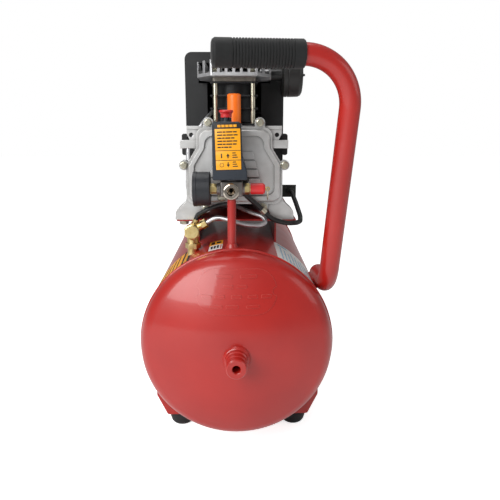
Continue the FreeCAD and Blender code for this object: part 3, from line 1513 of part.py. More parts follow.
def lead_clip():
    """P-clip: a band round the lead and a tab under its bolt's head."""
    x, z = bolt_places[clip_bolt]
    bolt = pump_at(x, cover_back - clip_thickness, z)
    run_start, run_end = lead_route[2], lead_route[3]
    heading = (run_end - run_start).normalize()
    middle = run_start + heading * ((bolt - run_start).dot(heading))
    band = ring(lead_radius + clip_thickness, lead_radius, 8.0, middle - heading * 4, heading)
    tab = rod(7.0, clip_thickness, bolt, Y)
    arm_low = Vector(min(bolt.x, middle.x) - 3, middle.y + 1.0, min(bolt.z, middle.z) - 4)
    arm_high = Vector(max(bolt.x, middle.x) + 3, bolt.y + clip_thickness, max(bolt.z, middle.z) + 4)
    lead_room = rod(lead_radius + guide, 40, middle - heading * 20, heading)
    arm = block(arm_low, arm_high).cut(rod(7.0, 30, bolt, -Y)).cut(lead_room)
    return join(band, arm, tab).cut(rod(cover_bolt_radius, 20, bolt - Y * 10, Y))


save("check_valve", check_valve())
save("discharge_pipe", held_tube("discharge pipe", discharge_route, discharge_radius))
save("unloader_hose", held_tube("unloader hose", hose_route, hose_radius))
save("motor_lead", held_tube("motor lead", lead_route, lead_radius))
save("cable_glands", *cable_glands())
save("lead_clip", lead_clip())
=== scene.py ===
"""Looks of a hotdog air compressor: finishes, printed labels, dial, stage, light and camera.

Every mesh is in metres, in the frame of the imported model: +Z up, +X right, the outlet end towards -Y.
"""

from __future__ import annotations

import json
import logging
import math
from dataclasses import dataclass, field
from enum import Enum

import bpy
from mathutils import Matrix, Vector

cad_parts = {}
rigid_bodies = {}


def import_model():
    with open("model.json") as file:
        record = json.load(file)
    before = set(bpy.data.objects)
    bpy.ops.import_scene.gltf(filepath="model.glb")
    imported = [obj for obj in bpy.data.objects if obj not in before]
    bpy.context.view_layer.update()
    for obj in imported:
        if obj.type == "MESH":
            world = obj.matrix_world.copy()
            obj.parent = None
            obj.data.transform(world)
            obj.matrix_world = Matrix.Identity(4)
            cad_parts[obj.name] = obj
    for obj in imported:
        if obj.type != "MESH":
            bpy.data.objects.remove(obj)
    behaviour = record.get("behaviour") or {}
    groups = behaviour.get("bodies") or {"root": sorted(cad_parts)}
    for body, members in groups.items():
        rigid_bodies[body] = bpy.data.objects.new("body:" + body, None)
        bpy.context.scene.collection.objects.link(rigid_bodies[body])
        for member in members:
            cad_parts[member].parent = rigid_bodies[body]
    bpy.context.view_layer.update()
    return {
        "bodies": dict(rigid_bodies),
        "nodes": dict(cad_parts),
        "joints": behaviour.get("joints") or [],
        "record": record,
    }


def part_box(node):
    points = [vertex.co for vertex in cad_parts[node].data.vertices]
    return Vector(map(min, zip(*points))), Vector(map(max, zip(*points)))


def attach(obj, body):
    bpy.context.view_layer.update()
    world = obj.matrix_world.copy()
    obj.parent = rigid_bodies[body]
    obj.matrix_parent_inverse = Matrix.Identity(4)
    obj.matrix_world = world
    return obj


LOG = logging.getLogger("compressor")
MM = 0.001
FRAME = "frame"                     # body that every printed piece rides on
CORNER_SAMPLES = 4                  # rays that look for a sharp edge
EDGE_HIGHLIGHT_WIDTH = 1.6                    # width of the painted edge highlight against the rounding of the edge
EDGE_HIGHLIGHT_SPREAD = (0.98, 0.80)          # agreement of normals at which the painted edge highlight begins and at which it is full
# strongest share of the lighter tint that paints a highlight on edges
EDGE_HIGHLIGHT_SHARE = 0.75
CAVITY_SAMPLES = 6                  # rays that look for a sheltered corner
CLOUD_SPREAD = (0.35, 0.65)         # noise levels between which one shade turns into the other
SMEAR_SHARE = (0.8, 1.25)           # roughness varies between these shares of its value
SHELTER_SPREAD = (0.35, 0.85)       # openness at which the painted shade is full and at which it is gone
# Painted shade in grooves and corners: its strongest share and the dark colour it mixes in.
CAVITY_SHADE_SHARE = 0.62
CAVITY_SHADE_COLOUR = "3c3a38"


# ---- shared helpers -----------------------------------------------------------------------------------

def linear(hex_colour: str) -> tuple[float, float, float, float]:
    """Turn an sRGB hex colour into linear RGBA.

    Args:
        hex_colour: Six hex digits, such as "b93a32".

    Returns:
        Linear red, green, blue and an alpha of one.
    """
    channels = [int(hex_colour[i:i + 2], 16) / 255 for i in (0, 2, 4)]
    curved = [c / 12.92 if c <= 0.04045 else ((c + 0.055) / 1.055) ** 2.4 for c in channels]
    return curved[0], curved[1], curved[2], 1.0


def add_node(tree: bpy.types.NodeTree, kind: str, settings: dict | None = None,
             links: dict | None = None) -> bpy.types.Node:
    """Add one shader node.

    Args:
        tree: Node tree that receives it.
        kind: Blender's node type.
        settings: Values by socket name or socket number, or by property name.
        links: Pairs (node, output) by input name or number.

    Returns:
        The new node.
    """
    node = tree.nodes.new(kind)
    for key, value in (settings or {}).items():
        if isinstance(key, str) and hasattr(node, key):
            setattr(node, key, value)
        else:
            node.inputs[key].default_value = value
    for key, (source, output) in (links or {}).items():
        tree.links.new(source.outputs[output], node.inputs[key])
    return node


def activate(piece: bpy.types.Object) -> None:
    """Make a piece the only selected and the active object."""
    bpy.ops.object.select_all(action="DESELECT")
    piece.select_set(True)
    bpy.context.view_layer.objects.active = piece


def new_piece(name: str) -> bpy.types.Object:
    """Name the object that an operator has just added."""
    piece = bpy.context.view_layer.objects.active
    piece.name = name
    piece.data.name = name
    return piece


def settle(piece: bpy.types.Object, angle: float = 35.0) -> bpy.types.Object:
    """Apply a piece's place to its mesh, point its faces outwards and smooth it.

    Args:
        piece: Mesh object to finish.
        angle: Edges sharper than this many degrees stay crisp.

    Returns:
        The same piece, with its object at the origin.
    """
    activate(piece)
    bpy.ops.object.transform_apply(location=True, rotation=True, scale=True)
    bpy.ops.object.mode_set(mode="EDIT")
    bpy.ops.mesh.select_all(action="SELECT")
    bpy.ops.mesh.normals_make_consistent(inside=False)
    bpy.ops.object.mode_set(mode="OBJECT")
    bpy.ops.object.shade_smooth_by_angle(angle=math.radians(angle))
    return piece


def move(piece: bpy.types.Object, way: Matrix) -> bpy.types.Object:
    """Turn and shift a piece by a matrix, and apply that to its mesh."""
    activate(piece)
    piece.matrix_world = way
    bpy.ops.object.transform_apply(location=True, rotation=True, scale=True)
    return piece


def turn_about(pivot: Vector, degrees: float, axis: str) -> Matrix:
    """Matrix that turns about a point."""
    turn = Matrix.Rotation(math.radians(degrees), 4, axis)
    return Matrix.Translation(pivot) @ turn @ Matrix.Translation(-pivot)


def apply_modifier(piece: bpy.types.Object, kind: str, settings: dict) -> None:
    """Add one modifier with its settings and apply it at once."""
    activate(piece)
    modifier = piece.modifiers.new(kind.title(), kind)
    for key, value in settings.items():
        setattr(modifier, key, value)
    bpy.ops.object.modifier_apply(modifier=modifier.name)


def slab(name: str, low: Vector, high: Vector, edge: float) -> bpy.types.Object:
    """Box with rounded edges between two corners.

    Args:
        name: Name of the piece.
        low: Lowest corner.
        high: Highest corner.
        edge: Rounding of every edge, in metres.

    Returns:
        The settled piece.
    """
    bpy.ops.object.select_all(action="DESELECT")
    bpy.ops.mesh.primitive_cube_add(size=1.0, location=(low + high) / 2)
    piece = new_piece(name)
    piece.scale = high - low
    bpy.ops.object.transform_apply(location=True, rotation=True, scale=True)
    apply_modifier(piece, "BEVEL", {"width": edge, "segments": 2, "limit_method": "NONE"})
    return settle(piece)


def merge(name: str, parts: list[bpy.types.Object]) -> bpy.types.Object:
    """Join several pieces of one finish into one object."""
    bpy.ops.object.select_all(action="DESELECT")
    for part in parts:
        part.select_set(True)
    bpy.context.view_layer.objects.active = parts[0]
    bpy.ops.object.join()
    return new_piece(name)


def dress(piece: bpy.types.Object, finish: Finish, body: str) -> bpy.types.Object:
    """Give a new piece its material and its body."""
    piece.data.materials.clear()
    piece.data.materials.append(finish.material())
    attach(piece, body)
    LOG.info("made %s with %s", piece.name, finish.name)
    return piece


# ---- finishes -----------------------------------------------------------------------------------------

@dataclass(frozen=True)
class Finish:
    """A surface: two close colours that cloud into each other, a grain, and softened edges.

    The grain is given in millimetres, and edge is the radius that every sharp edge catches light with.
    """

    name: str
    colour: str
    shade: str
    roughness: float = 0.5
    metallic: float = 0.0
    cloud_mm: float = 40.0
    grain_mm: float = 1.0
    grain_depth_mm: float = 0.02
    edge_mm: float = 0.5
    stretch: tuple[float, float, float] = (1.0, 1.0, 1.0)
    # lighter tint that paints a highlight on sharp edges; empty for none
    edge_colour: str = ""
    # reach of the painted shade in grooves and corners; zero for none
    cavity_mm: float = 0.0

    def material(self) -> bpy.types.Material:
        """Return the material, building it on first use."""
        known = bpy.data.materials.get(self.name)
        if known is not None:
            return known
        material = bpy.data.materials.new(self.name)
        material.use_nodes = True
        tree = material.node_tree
        tree.nodes.clear()
        output = add_node(tree, "ShaderNodeOutputMaterial")
        shader = add_node(tree, "ShaderNodeBsdfPrincipled", {"Metallic": self.metallic})
        tree.links.new(shader.outputs[0], output.inputs[0])
        place = add_node(tree, "ShaderNodeTexCoord")
        self.paint(tree, shader, place)
        self.relief(tree, shader, place)
        self.detail(shader)
        return material

    def paint(self, tree: bpy.types.NodeTree, shader: bpy.types.Node, place: bpy.types.Node) -> None:
        """Colour and roughness: large clouds, fine specks, edges in a second tint that paints a highlight,
        and painted shade in grooves and corners.
        """
        cloud = add_node(tree, "ShaderNodeTexNoise", {"Scale": 1 / (self.cloud_mm * MM), "Detail": 4.0},
                         {"Vector": (place, "Object")})
        blend = add_node(tree, "ShaderNodeMapRange", {1: CLOUD_SPREAD[0], 2: CLOUD_SPREAD[1]},
                         {0: (cloud, 0)})
        shades = {"data_type": "RGBA", 6: linear(self.colour), 7: linear(self.shade)}
        mix = add_node(tree, "ShaderNodeMix", shades, {0: (blend, 0)})
        colour = mix
        # Painted highlight: sharp edges take a lighter tint, as if they caught the light.
        if self.edge_colour:
            edge = self.edge_mask(tree)
            colour = add_node(tree, "ShaderNodeMix", {"data_type": "RGBA", 7: linear(self.edge_colour)},
                              {0: (edge, 0), 6: (mix, 2)})
        # Painted shade: grooves and corners get darker, as if light did not reach them.
        if self.cavity_mm:
            colour = self.cavities(tree, colour)
        tree.links.new(colour.outputs[2], shader.inputs["Base Color"])
        smear = add_node(tree, "ShaderNodeTexNoise", {"Scale": 2.3 / (self.cloud_mm * MM), "Detail": 6.0},
                         {"Vector": (place, "Object")})
        low, high = (min(1.0, self.roughness * share) for share in SMEAR_SHARE)
        spread = add_node(tree, "ShaderNodeMapRange", {3: low, 4: high}, {0: (smear, 0)})
        tree.links.new(spread.outputs[0], shader.inputs["Roughness"])

    def cavities(self, tree: bpy.types.NodeTree, colour: bpy.types.Node) -> bpy.types.Node:
        """Paint shade into grooves and corners: the less open a spot is, the darker its colour."""
        shelter = add_node(tree, "ShaderNodeAmbientOcclusion",
                           {"samples": CAVITY_SAMPLES, "Distance": self.cavity_mm * MM})
        spread = {1: SHELTER_SPREAD[0], 2: SHELTER_SPREAD[1], 3: CAVITY_SHADE_SHARE, 4: 0.0}
        share = add_node(tree, "ShaderNodeMapRange", spread, {0: (shelter, "AO")})
        return add_node(tree, "ShaderNodeMix", {"data_type": "RGBA", 7: linear(CAVITY_SHADE_COLOUR)},
                        {0: (share, 0), 6: (colour, 2)})

    def edge_mask(self, tree: bpy.types.NodeTree) -> bpy.types.Node:
        """One where the surface turns a sharp corner, fading within the edge radius; it places the painted
        edge highlight.
        """
        rounded = add_node(tree, "ShaderNodeBevel",
                           {"samples": CORNER_SAMPLES, "Radius": self.edge_mm * EDGE_HIGHLIGHT_WIDTH * MM})
        flat = add_node(tree, "ShaderNodeNewGeometry")
        same = add_node(tree, "ShaderNodeVectorMath", {"operation": "DOT_PRODUCT"},
                        {0: (rounded, 0), 1: (flat, "Normal")})
        spread = {1: EDGE_HIGHLIGHT_SPREAD[0], 2: EDGE_HIGHLIGHT_SPREAD[1], 3: 0.0, 4: EDGE_HIGHLIGHT_SHARE}
        return add_node(tree, "ShaderNodeMapRange", spread, {0: (same, "Value")})

    def relief(self, tree: bpy.types.NodeTree, shader: bpy.types.Node, place: bpy.types.Node) -> None:
        """Fine grain over softly rounded edges."""
        stretched = add_node(tree, "ShaderNodeMapping", {"Scale": self.stretch},
                             {"Vector": (place, "Object")})
        grain = add_node(tree, "ShaderNodeTexNoise", {"Scale": 1 / (self.grain_mm * MM), "Detail": 3.0},
                         {"Vector": (stretched, 0)})
        rounded = add_node(tree, "ShaderNodeBevel", {"samples": CORNER_SAMPLES, "Radius": self.edge_mm * MM})
        bump = add_node(tree, "ShaderNodeBump", {"Strength": 1.0, "Distance": self.grain_depth_mm * MM},
                        {"Height": (grain, 0), "Normal": (rounded, 0)})
        tree.links.new(bump.outputs[0], shader.inputs["Normal"])

    def detail(self, shader: bpy.types.Node) -> None:
        """Sockets that only some finishes use; plain ones leave them."""


@dataclass(frozen=True)
class GlossEnamel(Finish):
    """Sprayed and baked enamel: a clear gloss skin with faint orange peel over strong pigment."""

    gloss: float = 0.7

    def detail(self, shader: bpy.types.Node) -> None:
        """Clear skin over the pigment."""
        shader.inputs["Coat Weight"].default_value = self.gloss
        shader.inputs["Coat Roughness"].default_value = 0.08
        shader.inputs["Coat IOR"].default_value = 1.5


@dataclass(frozen=True)
class SoftRubber(Finish):
    """Moulded rubber: dull, with a faint dusty sheen at grazing angles."""

    def detail(self, shader: bpy.types.Node) -> None:
        """Low gloss and a little sheen."""
        shader.inputs["Specular IOR Level"].default_value = 0.35
        shader.inputs["Sheen Weight"].default_value = 0.12
        shader.inputs["Sheen Roughness"].default_value = 0.5


@dataclass(frozen=True)
class WindowGlass(Finish):
    """Clear flat window: it shows what lies behind it and a sharp reflection."""

    def detail(self, shader: bpy.types.Node) -> None:
        """Let light through."""
        shader.inputs["Transmission Weight"].default_value = 1.0
        shader.inputs["IOR"].default_value = 1.49


# Each edge tint given below is lighter than its finish: a painted highlight along the edges.
# Baked enamel on welded steel: saturated red, deep gloss, slight orange peel about 3 mm across.
RED_ENAMEL = GlossEnamel(
    "baked_red_enamel", "ad1c13", "a01710", roughness=0.36, cloud_mm=120, grain_mm=3.2,
    grain_depth_mm=0.02, edge_mm=0.45, edge_colour="d8645a", gloss=0.4)
# EPDM foam-rubber sleeve: near black, dull, fine skin.
GRIP_RUBBER = SoftRubber(
    "ribbed_grip_rubber", "121314", "0e0f0f", roughness=0.66, cloud_mm=30, grain_mm=0.9,
    grain_depth_mm=0.05, edge_mm=0.5)
# Shot-blasted die-cast aluminium: pale grey, half matt, grit about 1 mm, drawn coarse enough to show; its
# grooves carry painted shade.
CAST_ALUMINIUM = Finish(
    "blasted_cast_aluminium", "d2d2d1", "c0bfbd", roughness=0.36, metallic=0.65, cloud_mm=28,
    grain_mm=1.1, grain_depth_mm=0.06, edge_mm=0.9, edge_colour="f2f2f0", cavity_mm=7.0)
# Milled and blasted head casting: brighter, with faint tool streaks along the fins; its grooves carry painted
# shade.
MACHINED_ALUMINIUM = Finish(
    "milled_aluminium", "c9c9ca", "b4b4b6", roughness=0.36, metallic=0.75, cloud_mm=18,
    grain_mm=1.0, grain_depth_mm=0.03, edge_mm=0.5, stretch=(4, 0.6, 4), edge_colour="ececec",
    cavity_mm=9.0)
# Pressed paper gasket: reddish brown, absorbent.
GASKET_SHEET = Finish(
    "pressed_gasket_sheet", "6a2019", "551914", roughness=0.8, grain_mm=0.8, edge_mm=0.2)
# Zinc-plated steel with a faint yellow passivation.
ZINC_STEEL = Finish(
    "zinc_plated_steel", "c9c5b2", "b3ae9a", roughness=0.3, metallic=0.95, cloud_mm=9,
    grain_mm=0.7, grain_depth_mm=0.015, edge_mm=0.35, edge_colour="e6e3d6")
# Glass and acrylic windows.
CLEAR_WINDOW = WindowGlass(
    "clear_acrylic_window", "f2f6f6", "eaf0f0", roughness=0.05, grain_mm=4.0, grain_depth_mm=0.002,
    edge_mm=0.2)
# Polypropylene moulding in safety orange: light scatters, so the colour glows slightly.
ORANGE_PLASTIC = GlossEnamel(
    "moulded_orange_polypropylene", "ff7d12", "fa700a", roughness=0.42, cloud_mm=25, grain_mm=1.2,
    grain_depth_mm=0.02, edge_mm=0.6, gloss=0.15)
# Black enamelled grey iron: fins keep the sand-cast skin.
BLACK_IRON = Finish(
    "black_enamelled_iron", "101114", "0b0c0f", roughness=0.52, metallic=0.1, cloud_mm=14,
    grain_mm=1.3, grain_depth_mm=0.09, edge_mm=0.6, edge_colour="2a2c30")
# Ground tool steel of the valve plate, oil-stained.
VALVE_STEEL = Finish(
    "ground_valve_steel", "8d877c", "77716a", roughness=0.42, metallic=0.8, cloud_mm=10,
    grain_mm=0.8, grain_depth_mm=0.02, edge_mm=0.4, edge_colour="a9a398")
# Turned steel of shafts and pins.
TURNED_STEEL = Finish(
    "turned_steel", "8e8f92", "78797c", roughness=0.28, metallic=1.0, cloud_mm=8, grain_mm=0.7,
    grain_depth_mm=0.01, stretch=(1, 6, 1))
# Stacked laminations with varnish: dark, with lines along the stack.
LAMINATIONS = Finish(
    "varnished_laminations", "54504c", "3d3a37", roughness=0.45, metallic=0.7, cloud_mm=12,
    grain_mm=0.9, grain_depth_mm=0.08, stretch=(0.4, 8, 0.4))
# ABS shroud moulding: black with a fine spark-eroded texture, about 0.8 mm.
SHROUD_ABS = Finish(
    "textured_black_abs", "06070a", "040507", roughness=0.56, cloud_mm=60, grain_mm=0.8,
    grain_depth_mm=0.035, edge_mm=0.8, edge_colour="181b1f")
# Air filter housing: smoother black nylon.
FILTER_NYLON = Finish(
    "smooth_black_nylon", "171716", "111110", roughness=0.42, cloud_mm=26, grain_mm=1.2,
    grain_depth_mm=0.02, edge_mm=0.7, edge_colour="2a2a29")
# Glass-filled nylon fan.
FAN_NYLON = Finish(
    "glass_filled_nylon", "1d2022", "17191b", roughness=0.5, cloud_mm=20, grain_mm=1.0)
# Die-cast zinc manifold, dulled by handling.
CAST_ZINC = Finish(
    "die_cast_zinc", "85817e", "6b6764", roughness=0.4, metallic=0.75, cloud_mm=9, grain_mm=0.9,
    grain_depth_mm=0.04, edge_mm=0.6, edge_colour="a9a5a1")
# Switch case in slate ABS, satin.
SWITCH_ABS = Finish(
    "slate_switch_abs", "222933", "1d242d", roughness=0.46, cloud_mm=30, grain_mm=0.9,
    grain_depth_mm=0.02, edge_mm=0.7, edge_colour="363f4b")
# Red acetal knob and valve sleeve: smooth, slightly translucent look.
RED_ACETAL = GlossEnamel(
    "red_acetal", "d2282a", "c42022", roughness=0.36, cloud_mm=12, grain_mm=1.0,
    grain_depth_mm=0.012, edge_mm=0.5, gloss=0.25)
# Nickel plate over brass: warm silver mirror with fine turning lines.
NICKEL_PLATE = Finish(
    "nickel_plated_brass", "b9b0a4", "a39a8e", roughness=0.16, metallic=1.0, cloud_mm=7,
    grain_mm=0.6, grain_depth_mm=0.012, edge_mm=0.4, edge_colour="ddd6cc")
# Free-cutting brass, as turned: yellow gold with fine tool lines.
TURNED_BRASS = Finish(
    "turned_brass", "dcc890", "c8ae72", roughness=0.3, metallic=1.0, cloud_mm=8, grain_mm=0.7,
    grain_depth_mm=0.015, edge_mm=0.5, edge_colour="efe2b8")
# Gauge case: black baked enamel on pressed steel.
GAUGE_ENAMEL = GlossEnamel(
    "black_gauge_enamel", "14171e", "101319", roughness=0.46, cloud_mm=20, grain_mm=1.4,
    grain_depth_mm=0.015, edge_mm=0.6, gloss=0.1)
# Matt black ink and needle paint.
BLACK_INK = Finish(
    "matt_black_ink", "141210", "1b1917", roughness=0.55, cloud_mm=12, grain_mm=0.6, edge_mm=0.1)
# Drawn aluminium tube, bright with length-wise draw marks.
DRAWN_ALUMINIUM = Finish(
    "drawn_aluminium_tube", "cfcfd1", "bdbdc0", roughness=0.34, metallic=0.9, cloud_mm=14,
    grain_mm=2.4, grain_depth_mm=0.004, edge_mm=0.2)
# PVC cable jacket and hose: black, soft gloss.
CABLE_PVC = Finish(
    "black_pvc_jacket", "151616", "101111", roughness=0.4, cloud_mm=16, grain_mm=1.0,
    grain_depth_mm=0.02)
# Nylon glands, grey-green.
GLAND_NYLON = Finish(
    "grey_gland_nylon", "30352f", "262a26", roughness=0.5, cloud_mm=9, grain_mm=0.8)
# Moulded rubber feet, dusty black.
FOOT_RUBBER = SoftRubber(
    "moulded_foot_rubber", "161718", "1e1f21", roughness=0.72, cloud_mm=18, grain_mm=1.1,
    grain_depth_mm=0.05, edge_mm=0.8)
# Solid tyre rubber.
TYRE_RUBBER = SoftRubber(
    "solid_tyre_rubber", "19191a", "232324", roughness=0.8, cloud_mm=22, grain_mm=1.3,
    grain_depth_mm=0.06, edge_mm=0.6)
# Grey polypropylene wheel hubs.
HUB_PLASTIC = Finish(
    "grey_hub_polypropylene", "8f9091", "858687", roughness=0.5, cloud_mm=26, grain_mm=1.0,
    grain_depth_mm=0.03, edge_mm=0.7, edge_colour="a7a8a9")
# Ground bearing steel.
BEARING_STEEL = Finish(
    "ground_bearing_steel", "a9aaad", "97989b", roughness=0.2, metallic=1.0, cloud_mm=8,
    grain_mm=0.6)
# Printed vinyl: yellow, white, pale blue and orange inks, satin film.
YELLOW_VINYL = Finish(
    "yellow_printed_vinyl", "f3a712", "eca00c", roughness=0.38, cloud_mm=16, grain_mm=1.2,
    grain_depth_mm=0.006, edge_mm=0.1)
WHITE_VINYL = Finish(
    "white_printed_vinyl", "efefec", "e6e6e2", roughness=0.35, cloud_mm=20, grain_mm=1.2,
    grain_depth_mm=0.006, edge_mm=0.1)
BLUE_INK = Finish(
    "pale_blue_ink", "8ab4cc", "98bfd4", roughness=0.4, cloud_mm=10, grain_mm=0.8, edge_mm=0.1)
RED_INK = Finish(
    "signal_red_ink", "cf3a2c", "c43226", roughness=0.4, cloud_mm=10, grain_mm=0.8, edge_mm=0.1)


# Seamless studio paper under the machine: white, matt, hardly any fibre to see.
STUDIO_PAPER = Finish(
    "studio_paper", "ffffff", "fdfdfd", roughness=0.9, cloud_mm=900, grain_mm=6.0, edge_mm=0.1)


FINISH_OF = {
    RED_ENAMEL: ("tank_shell", "tank_head_front", "tank_head_rear", "end_bosses", "stand_pipe", "pump_saddle",
                 "front_foot_bracket", "rear_axle_brackets", "handle_tube"),
    GRIP_RUBBER: ("handle_grip",),
    CAST_ALUMINIUM: ("crankcase", "crankcase_cover", "motor_housing", "motor_shields"),
    MACHINED_ALUMINIUM: ("cylinder_head", "piston", "connecting_rod"),
    GASKET_SHEET: ("cover_gasket",),
    ZINC_STEEL: ("oil_drain_plug", "hex_bolts", "cylinder_studs", "relief_ring", "lead_clip", "stub_axles"),
    CLEAR_WINDOW: ("sight_glass", "gauge_lens"),
    ORANGE_PLASTIC: ("breather_cap",),
    BLACK_IRON: ("cylinder",),
    VALVE_STEEL: ("valve_plate",),
    TURNED_STEEL: ("piston_pins", "crank_web", "motor_shaft"),
    LAMINATIONS: ("motor_rotor", "motor_stator"),
    SHROUD_ABS: ("fan_shroud",),
    FILTER_NYLON: ("air_filter",),
    FAN_NYLON: ("cooling_fan",),
    CAST_ZINC: ("switch_manifold",),
    SWITCH_ABS: ("switch_cover",),
    RED_ACETAL: ("switch_knob", "relief_cap"),
    NICKEL_PLATE: ("outlet_fitting",),
    TURNED_BRASS: ("brass_nipples", "relief_valve", "relief_stem", "check_valve", "drain_valve", "drain_tap"),
    GAUGE_ENAMEL: ("gauge_case",),
    BLACK_INK: ("gauge_needle",),
    DRAWN_ALUMINIUM: ("discharge_pipe",),
    CABLE_PVC: ("unloader_hose", "motor_lead"),
    GLAND_NYLON: ("cable_glands",),
    FOOT_RUBBER: ("rubber_feet",),
    TYRE_RUBBER: ("tyre_left", "tyre_right"),
    HUB_PLASTIC: ("wheel_hub_left", "wheel_hub_right"),
    BEARING_STEEL: ("shaft_bearings",),
}


def dress_nodes(nodes: dict[str, bpy.types.Object]) -> None:
    """Give every carried-over node its finish.

    Args:
        nodes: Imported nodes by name.
    """
    for finish, names in FINISH_OF.items():
        for name in names:
            mesh = nodes[name].data
            if not mesh.materials:
                mesh.materials.append(None)
            for i in range(len(mesh.materials)):
                mesh.materials[i] = finish.material()
            LOG.info("dressed %s with %s", name, finish.name)


# ---- printed label of the switch ----------------------------------------------------------------------

class Arrow(Enum):
    """Way an arrow on the label points."""

    UP = 1
    DOWN = -1


@dataclass
class SwitchLabel:
    """Printed plate on the front of the switch: dark header, a text cell and two symbol cells.

    Heights are measured from the bottom of the switch case, widths from its left edge.
    """

    left: float = 5.2 * MM
    width: float = 38.0 * MM
    bottom: float = 14.4 * MM
    top: float = 81.0 * MM
    header: float = 7.8 * MM
    cell: float = 13.8 * MM
    gap: float = 0.8 * MM
    lean: float = 1.6
    film: float = 0.35 * MM
    ink: float = 0.12 * MM
    sunk: float = 0.3 * MM
    edge: float = 0.05 * MM
    border: float = 0.8 * MM
    text_height: float = 1.8 * MM
    text_pitch: float = 4.3 * MM
    text_left: float = 4.0 * MM
    word_gap: float = 0.9 * MM
    symbol_left: float = 9.3 * MM
    symbol_reach: float = 3.2 * MM
    arrow_left: float = 18.5 * MM

    def build(self) -> None:
        """Make the backing, the yellow cells and the printed marks."""
        low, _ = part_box("switch_cover")
        corner = Vector((low.x + self.left, low.y, low.z))
        back = self.plate("switch_label_back", corner, 0.0, self.bottom, self.width, self.top, self.film)
        dress(self.slanted(back, corner), BLACK_INK, FRAME)
        cells = []
        edge = self.border
        levels = (self.bottom + edge, self.bottom + self.cell, self.bottom + 2 * self.cell,
                  self.top - self.header)
        for i in range(3):
            cells.append(self.plate("cell", corner, edge, levels[i] + self.gap * (i > 0), self.width - edge,
                                    levels[i + 1], self.film + self.ink))
        yellow = merge("switch_label_cells", cells)
        dress(self.slanted(yellow, corner), YELLOW_VINYL, FRAME)
        marks = self.lines(corner, levels) + self.symbols(corner, levels)
        dress(self.slanted(merge("switch_label_marks", marks), corner), BLACK_INK, FRAME)
        proud = self.film + 2 * self.ink
        header = [self.plate("bar", corner, (5.0 + 5.7 * i) * MM, self.top - 5.6 * MM, (9.6 + 5.7 * i) * MM,
                             self.top - 2.2 * MM, proud) for i in range(5)]
        header = self.slanted(merge("switch_label_header", header), corner)
        dress(header, YELLOW_VINYL, FRAME)

    def plate(self, name: str, corner: Vector, x0: float, z0: float, x1: float, z1: float,
              proud: float) -> bpy.types.Object:
        """Thin plate that stands proud of the case by the given height."""
        low = corner + Vector((x0, -proud, z0))
        high = corner + Vector((x1, self.sunk, z1))
        return slab(name, low, high, self.edge)

    def slanted(self, piece: bpy.types.Object, corner: Vector) -> bpy.types.Object:
        """Lean a label piece to the left, as it is stuck on."""
        return move(piece, turn_about(corner, -self.lean, "Y"))

    def lines(self, corner: Vector, levels: tuple[float, ...]) -> list[bpy.types.Object]:
        """Rows of short bars that stand for printed text."""
        made = []
        proud = self.film + 2 * self.ink
        top = levels[3] - 3.6 * MM
        words = (0.28, 0.16, 0.34, 0.22)
        for row, length in enumerate((28, 29, 24, 28, 27, 19)):
            start = self.text_left
            for share in words:
                end = start + share * length * MM * 0.92
                rise = top - self.text_pitch * row
                made.append(self.plate("text", corner, start, rise - self.text_height, end, rise, proud))
                start = end + self.word_gap
        for cell in (0, 1):
            base = levels[cell] + self.gap
            for row in range(3):
                start = 25.0 * MM
                rise = base + (3.0 + 3.1 * row) * MM
                made.append(self.plate("text", corner, start, rise, start + (7.5 - 1.4 * row) * MM,
                                       rise + 1.4 * MM, proud))
        return made

    def symbols(self, corner: Vector, levels: tuple[float, ...]) -> list[bpy.types.Object]:
        """A bar for on, a ring for off, and an arrow for the way the knob goes."""
        proud = self.film + 2 * self.ink
        middle = self.cell / 2
        on_centre = levels[1] + middle
        off_centre = levels[0] + middle
        half = self.text_height / 2
        made = [self.plate("on", corner, self.symbol_left - half, on_centre - self.symbol_reach,
                           self.symbol_left + half, on_centre + self.symbol_reach, proud)]
        made.append(self.ring(corner + Vector((self.symbol_left, 0, off_centre)), 2.8 * MM, proud))
        made += self.arrow(corner + Vector((self.arrow_left, 0, on_centre)), Arrow.UP, proud)
        made += self.arrow(corner + Vector((self.arrow_left, 0, off_centre)), Arrow.DOWN, proud)
        return made

    def ring(self, centre: Vector, radius: float, proud: float) -> bpy.types.Object:
        """Flat ring in the plane of the label."""
        bpy.ops.object.select_all(action="DESELECT")
        line = 0.7 * MM
        bpy.ops.mesh.primitive_torus_add(major_radius=radius, minor_radius=line, major_segments=40,
                                         minor_segments=8, location=centre,
                                         rotation=(math.pi / 2, 0, 0))
        piece = new_piece("off")
        piece.scale = (1, 1, proud / line)
        return settle(piece)

    def arrow(self, centre: Vector, way: Arrow, proud: float) -> list[bpy.types.Object]:
        """Stem and triangular head."""
        sign = way.value
        tail = -sign * 3.6 * MM
        stem = slab("stem", centre + Vector((-0.8 * MM, -proud, min(0, tail))),
                    centre + Vector((0.8 * MM, self.sunk, max(0, tail))), self.edge)
        bpy.ops.object.select_all(action="DESELECT")
        tip = centre + Vector((0, (self.sunk - proud) / 2, sign * 0.8 * MM))
        bpy.ops.mesh.primitive_cylinder_add(vertices=3, radius=2.8 * MM, depth=proud + self.sunk,
                                            location=tip,
                                            rotation=(math.pi / 2, 0 if sign > 0 else math.pi, 0))
        return [stem, settle(new_piece("head"))]


# ---- stickers on the tank -----------------------------------------------------------------------------

@dataclass(frozen=True)
class Span:
    """Part of the shell between two angles and two distances.

    Angles are degrees from the top, positive to the right. Distances are millimetres behind the front seam.
    """

    start: float
    end: float
    front: float
    back: float

    def stepped(self, turn: float, shift: float = 0.0, shorter: float = 0.0) -> Span:
        """Copy that is turned, shifted along the tank and cut short at the back."""
        return Span(self.start + turn, self.end + turn, self.front + shift, self.back + shift - shorter)


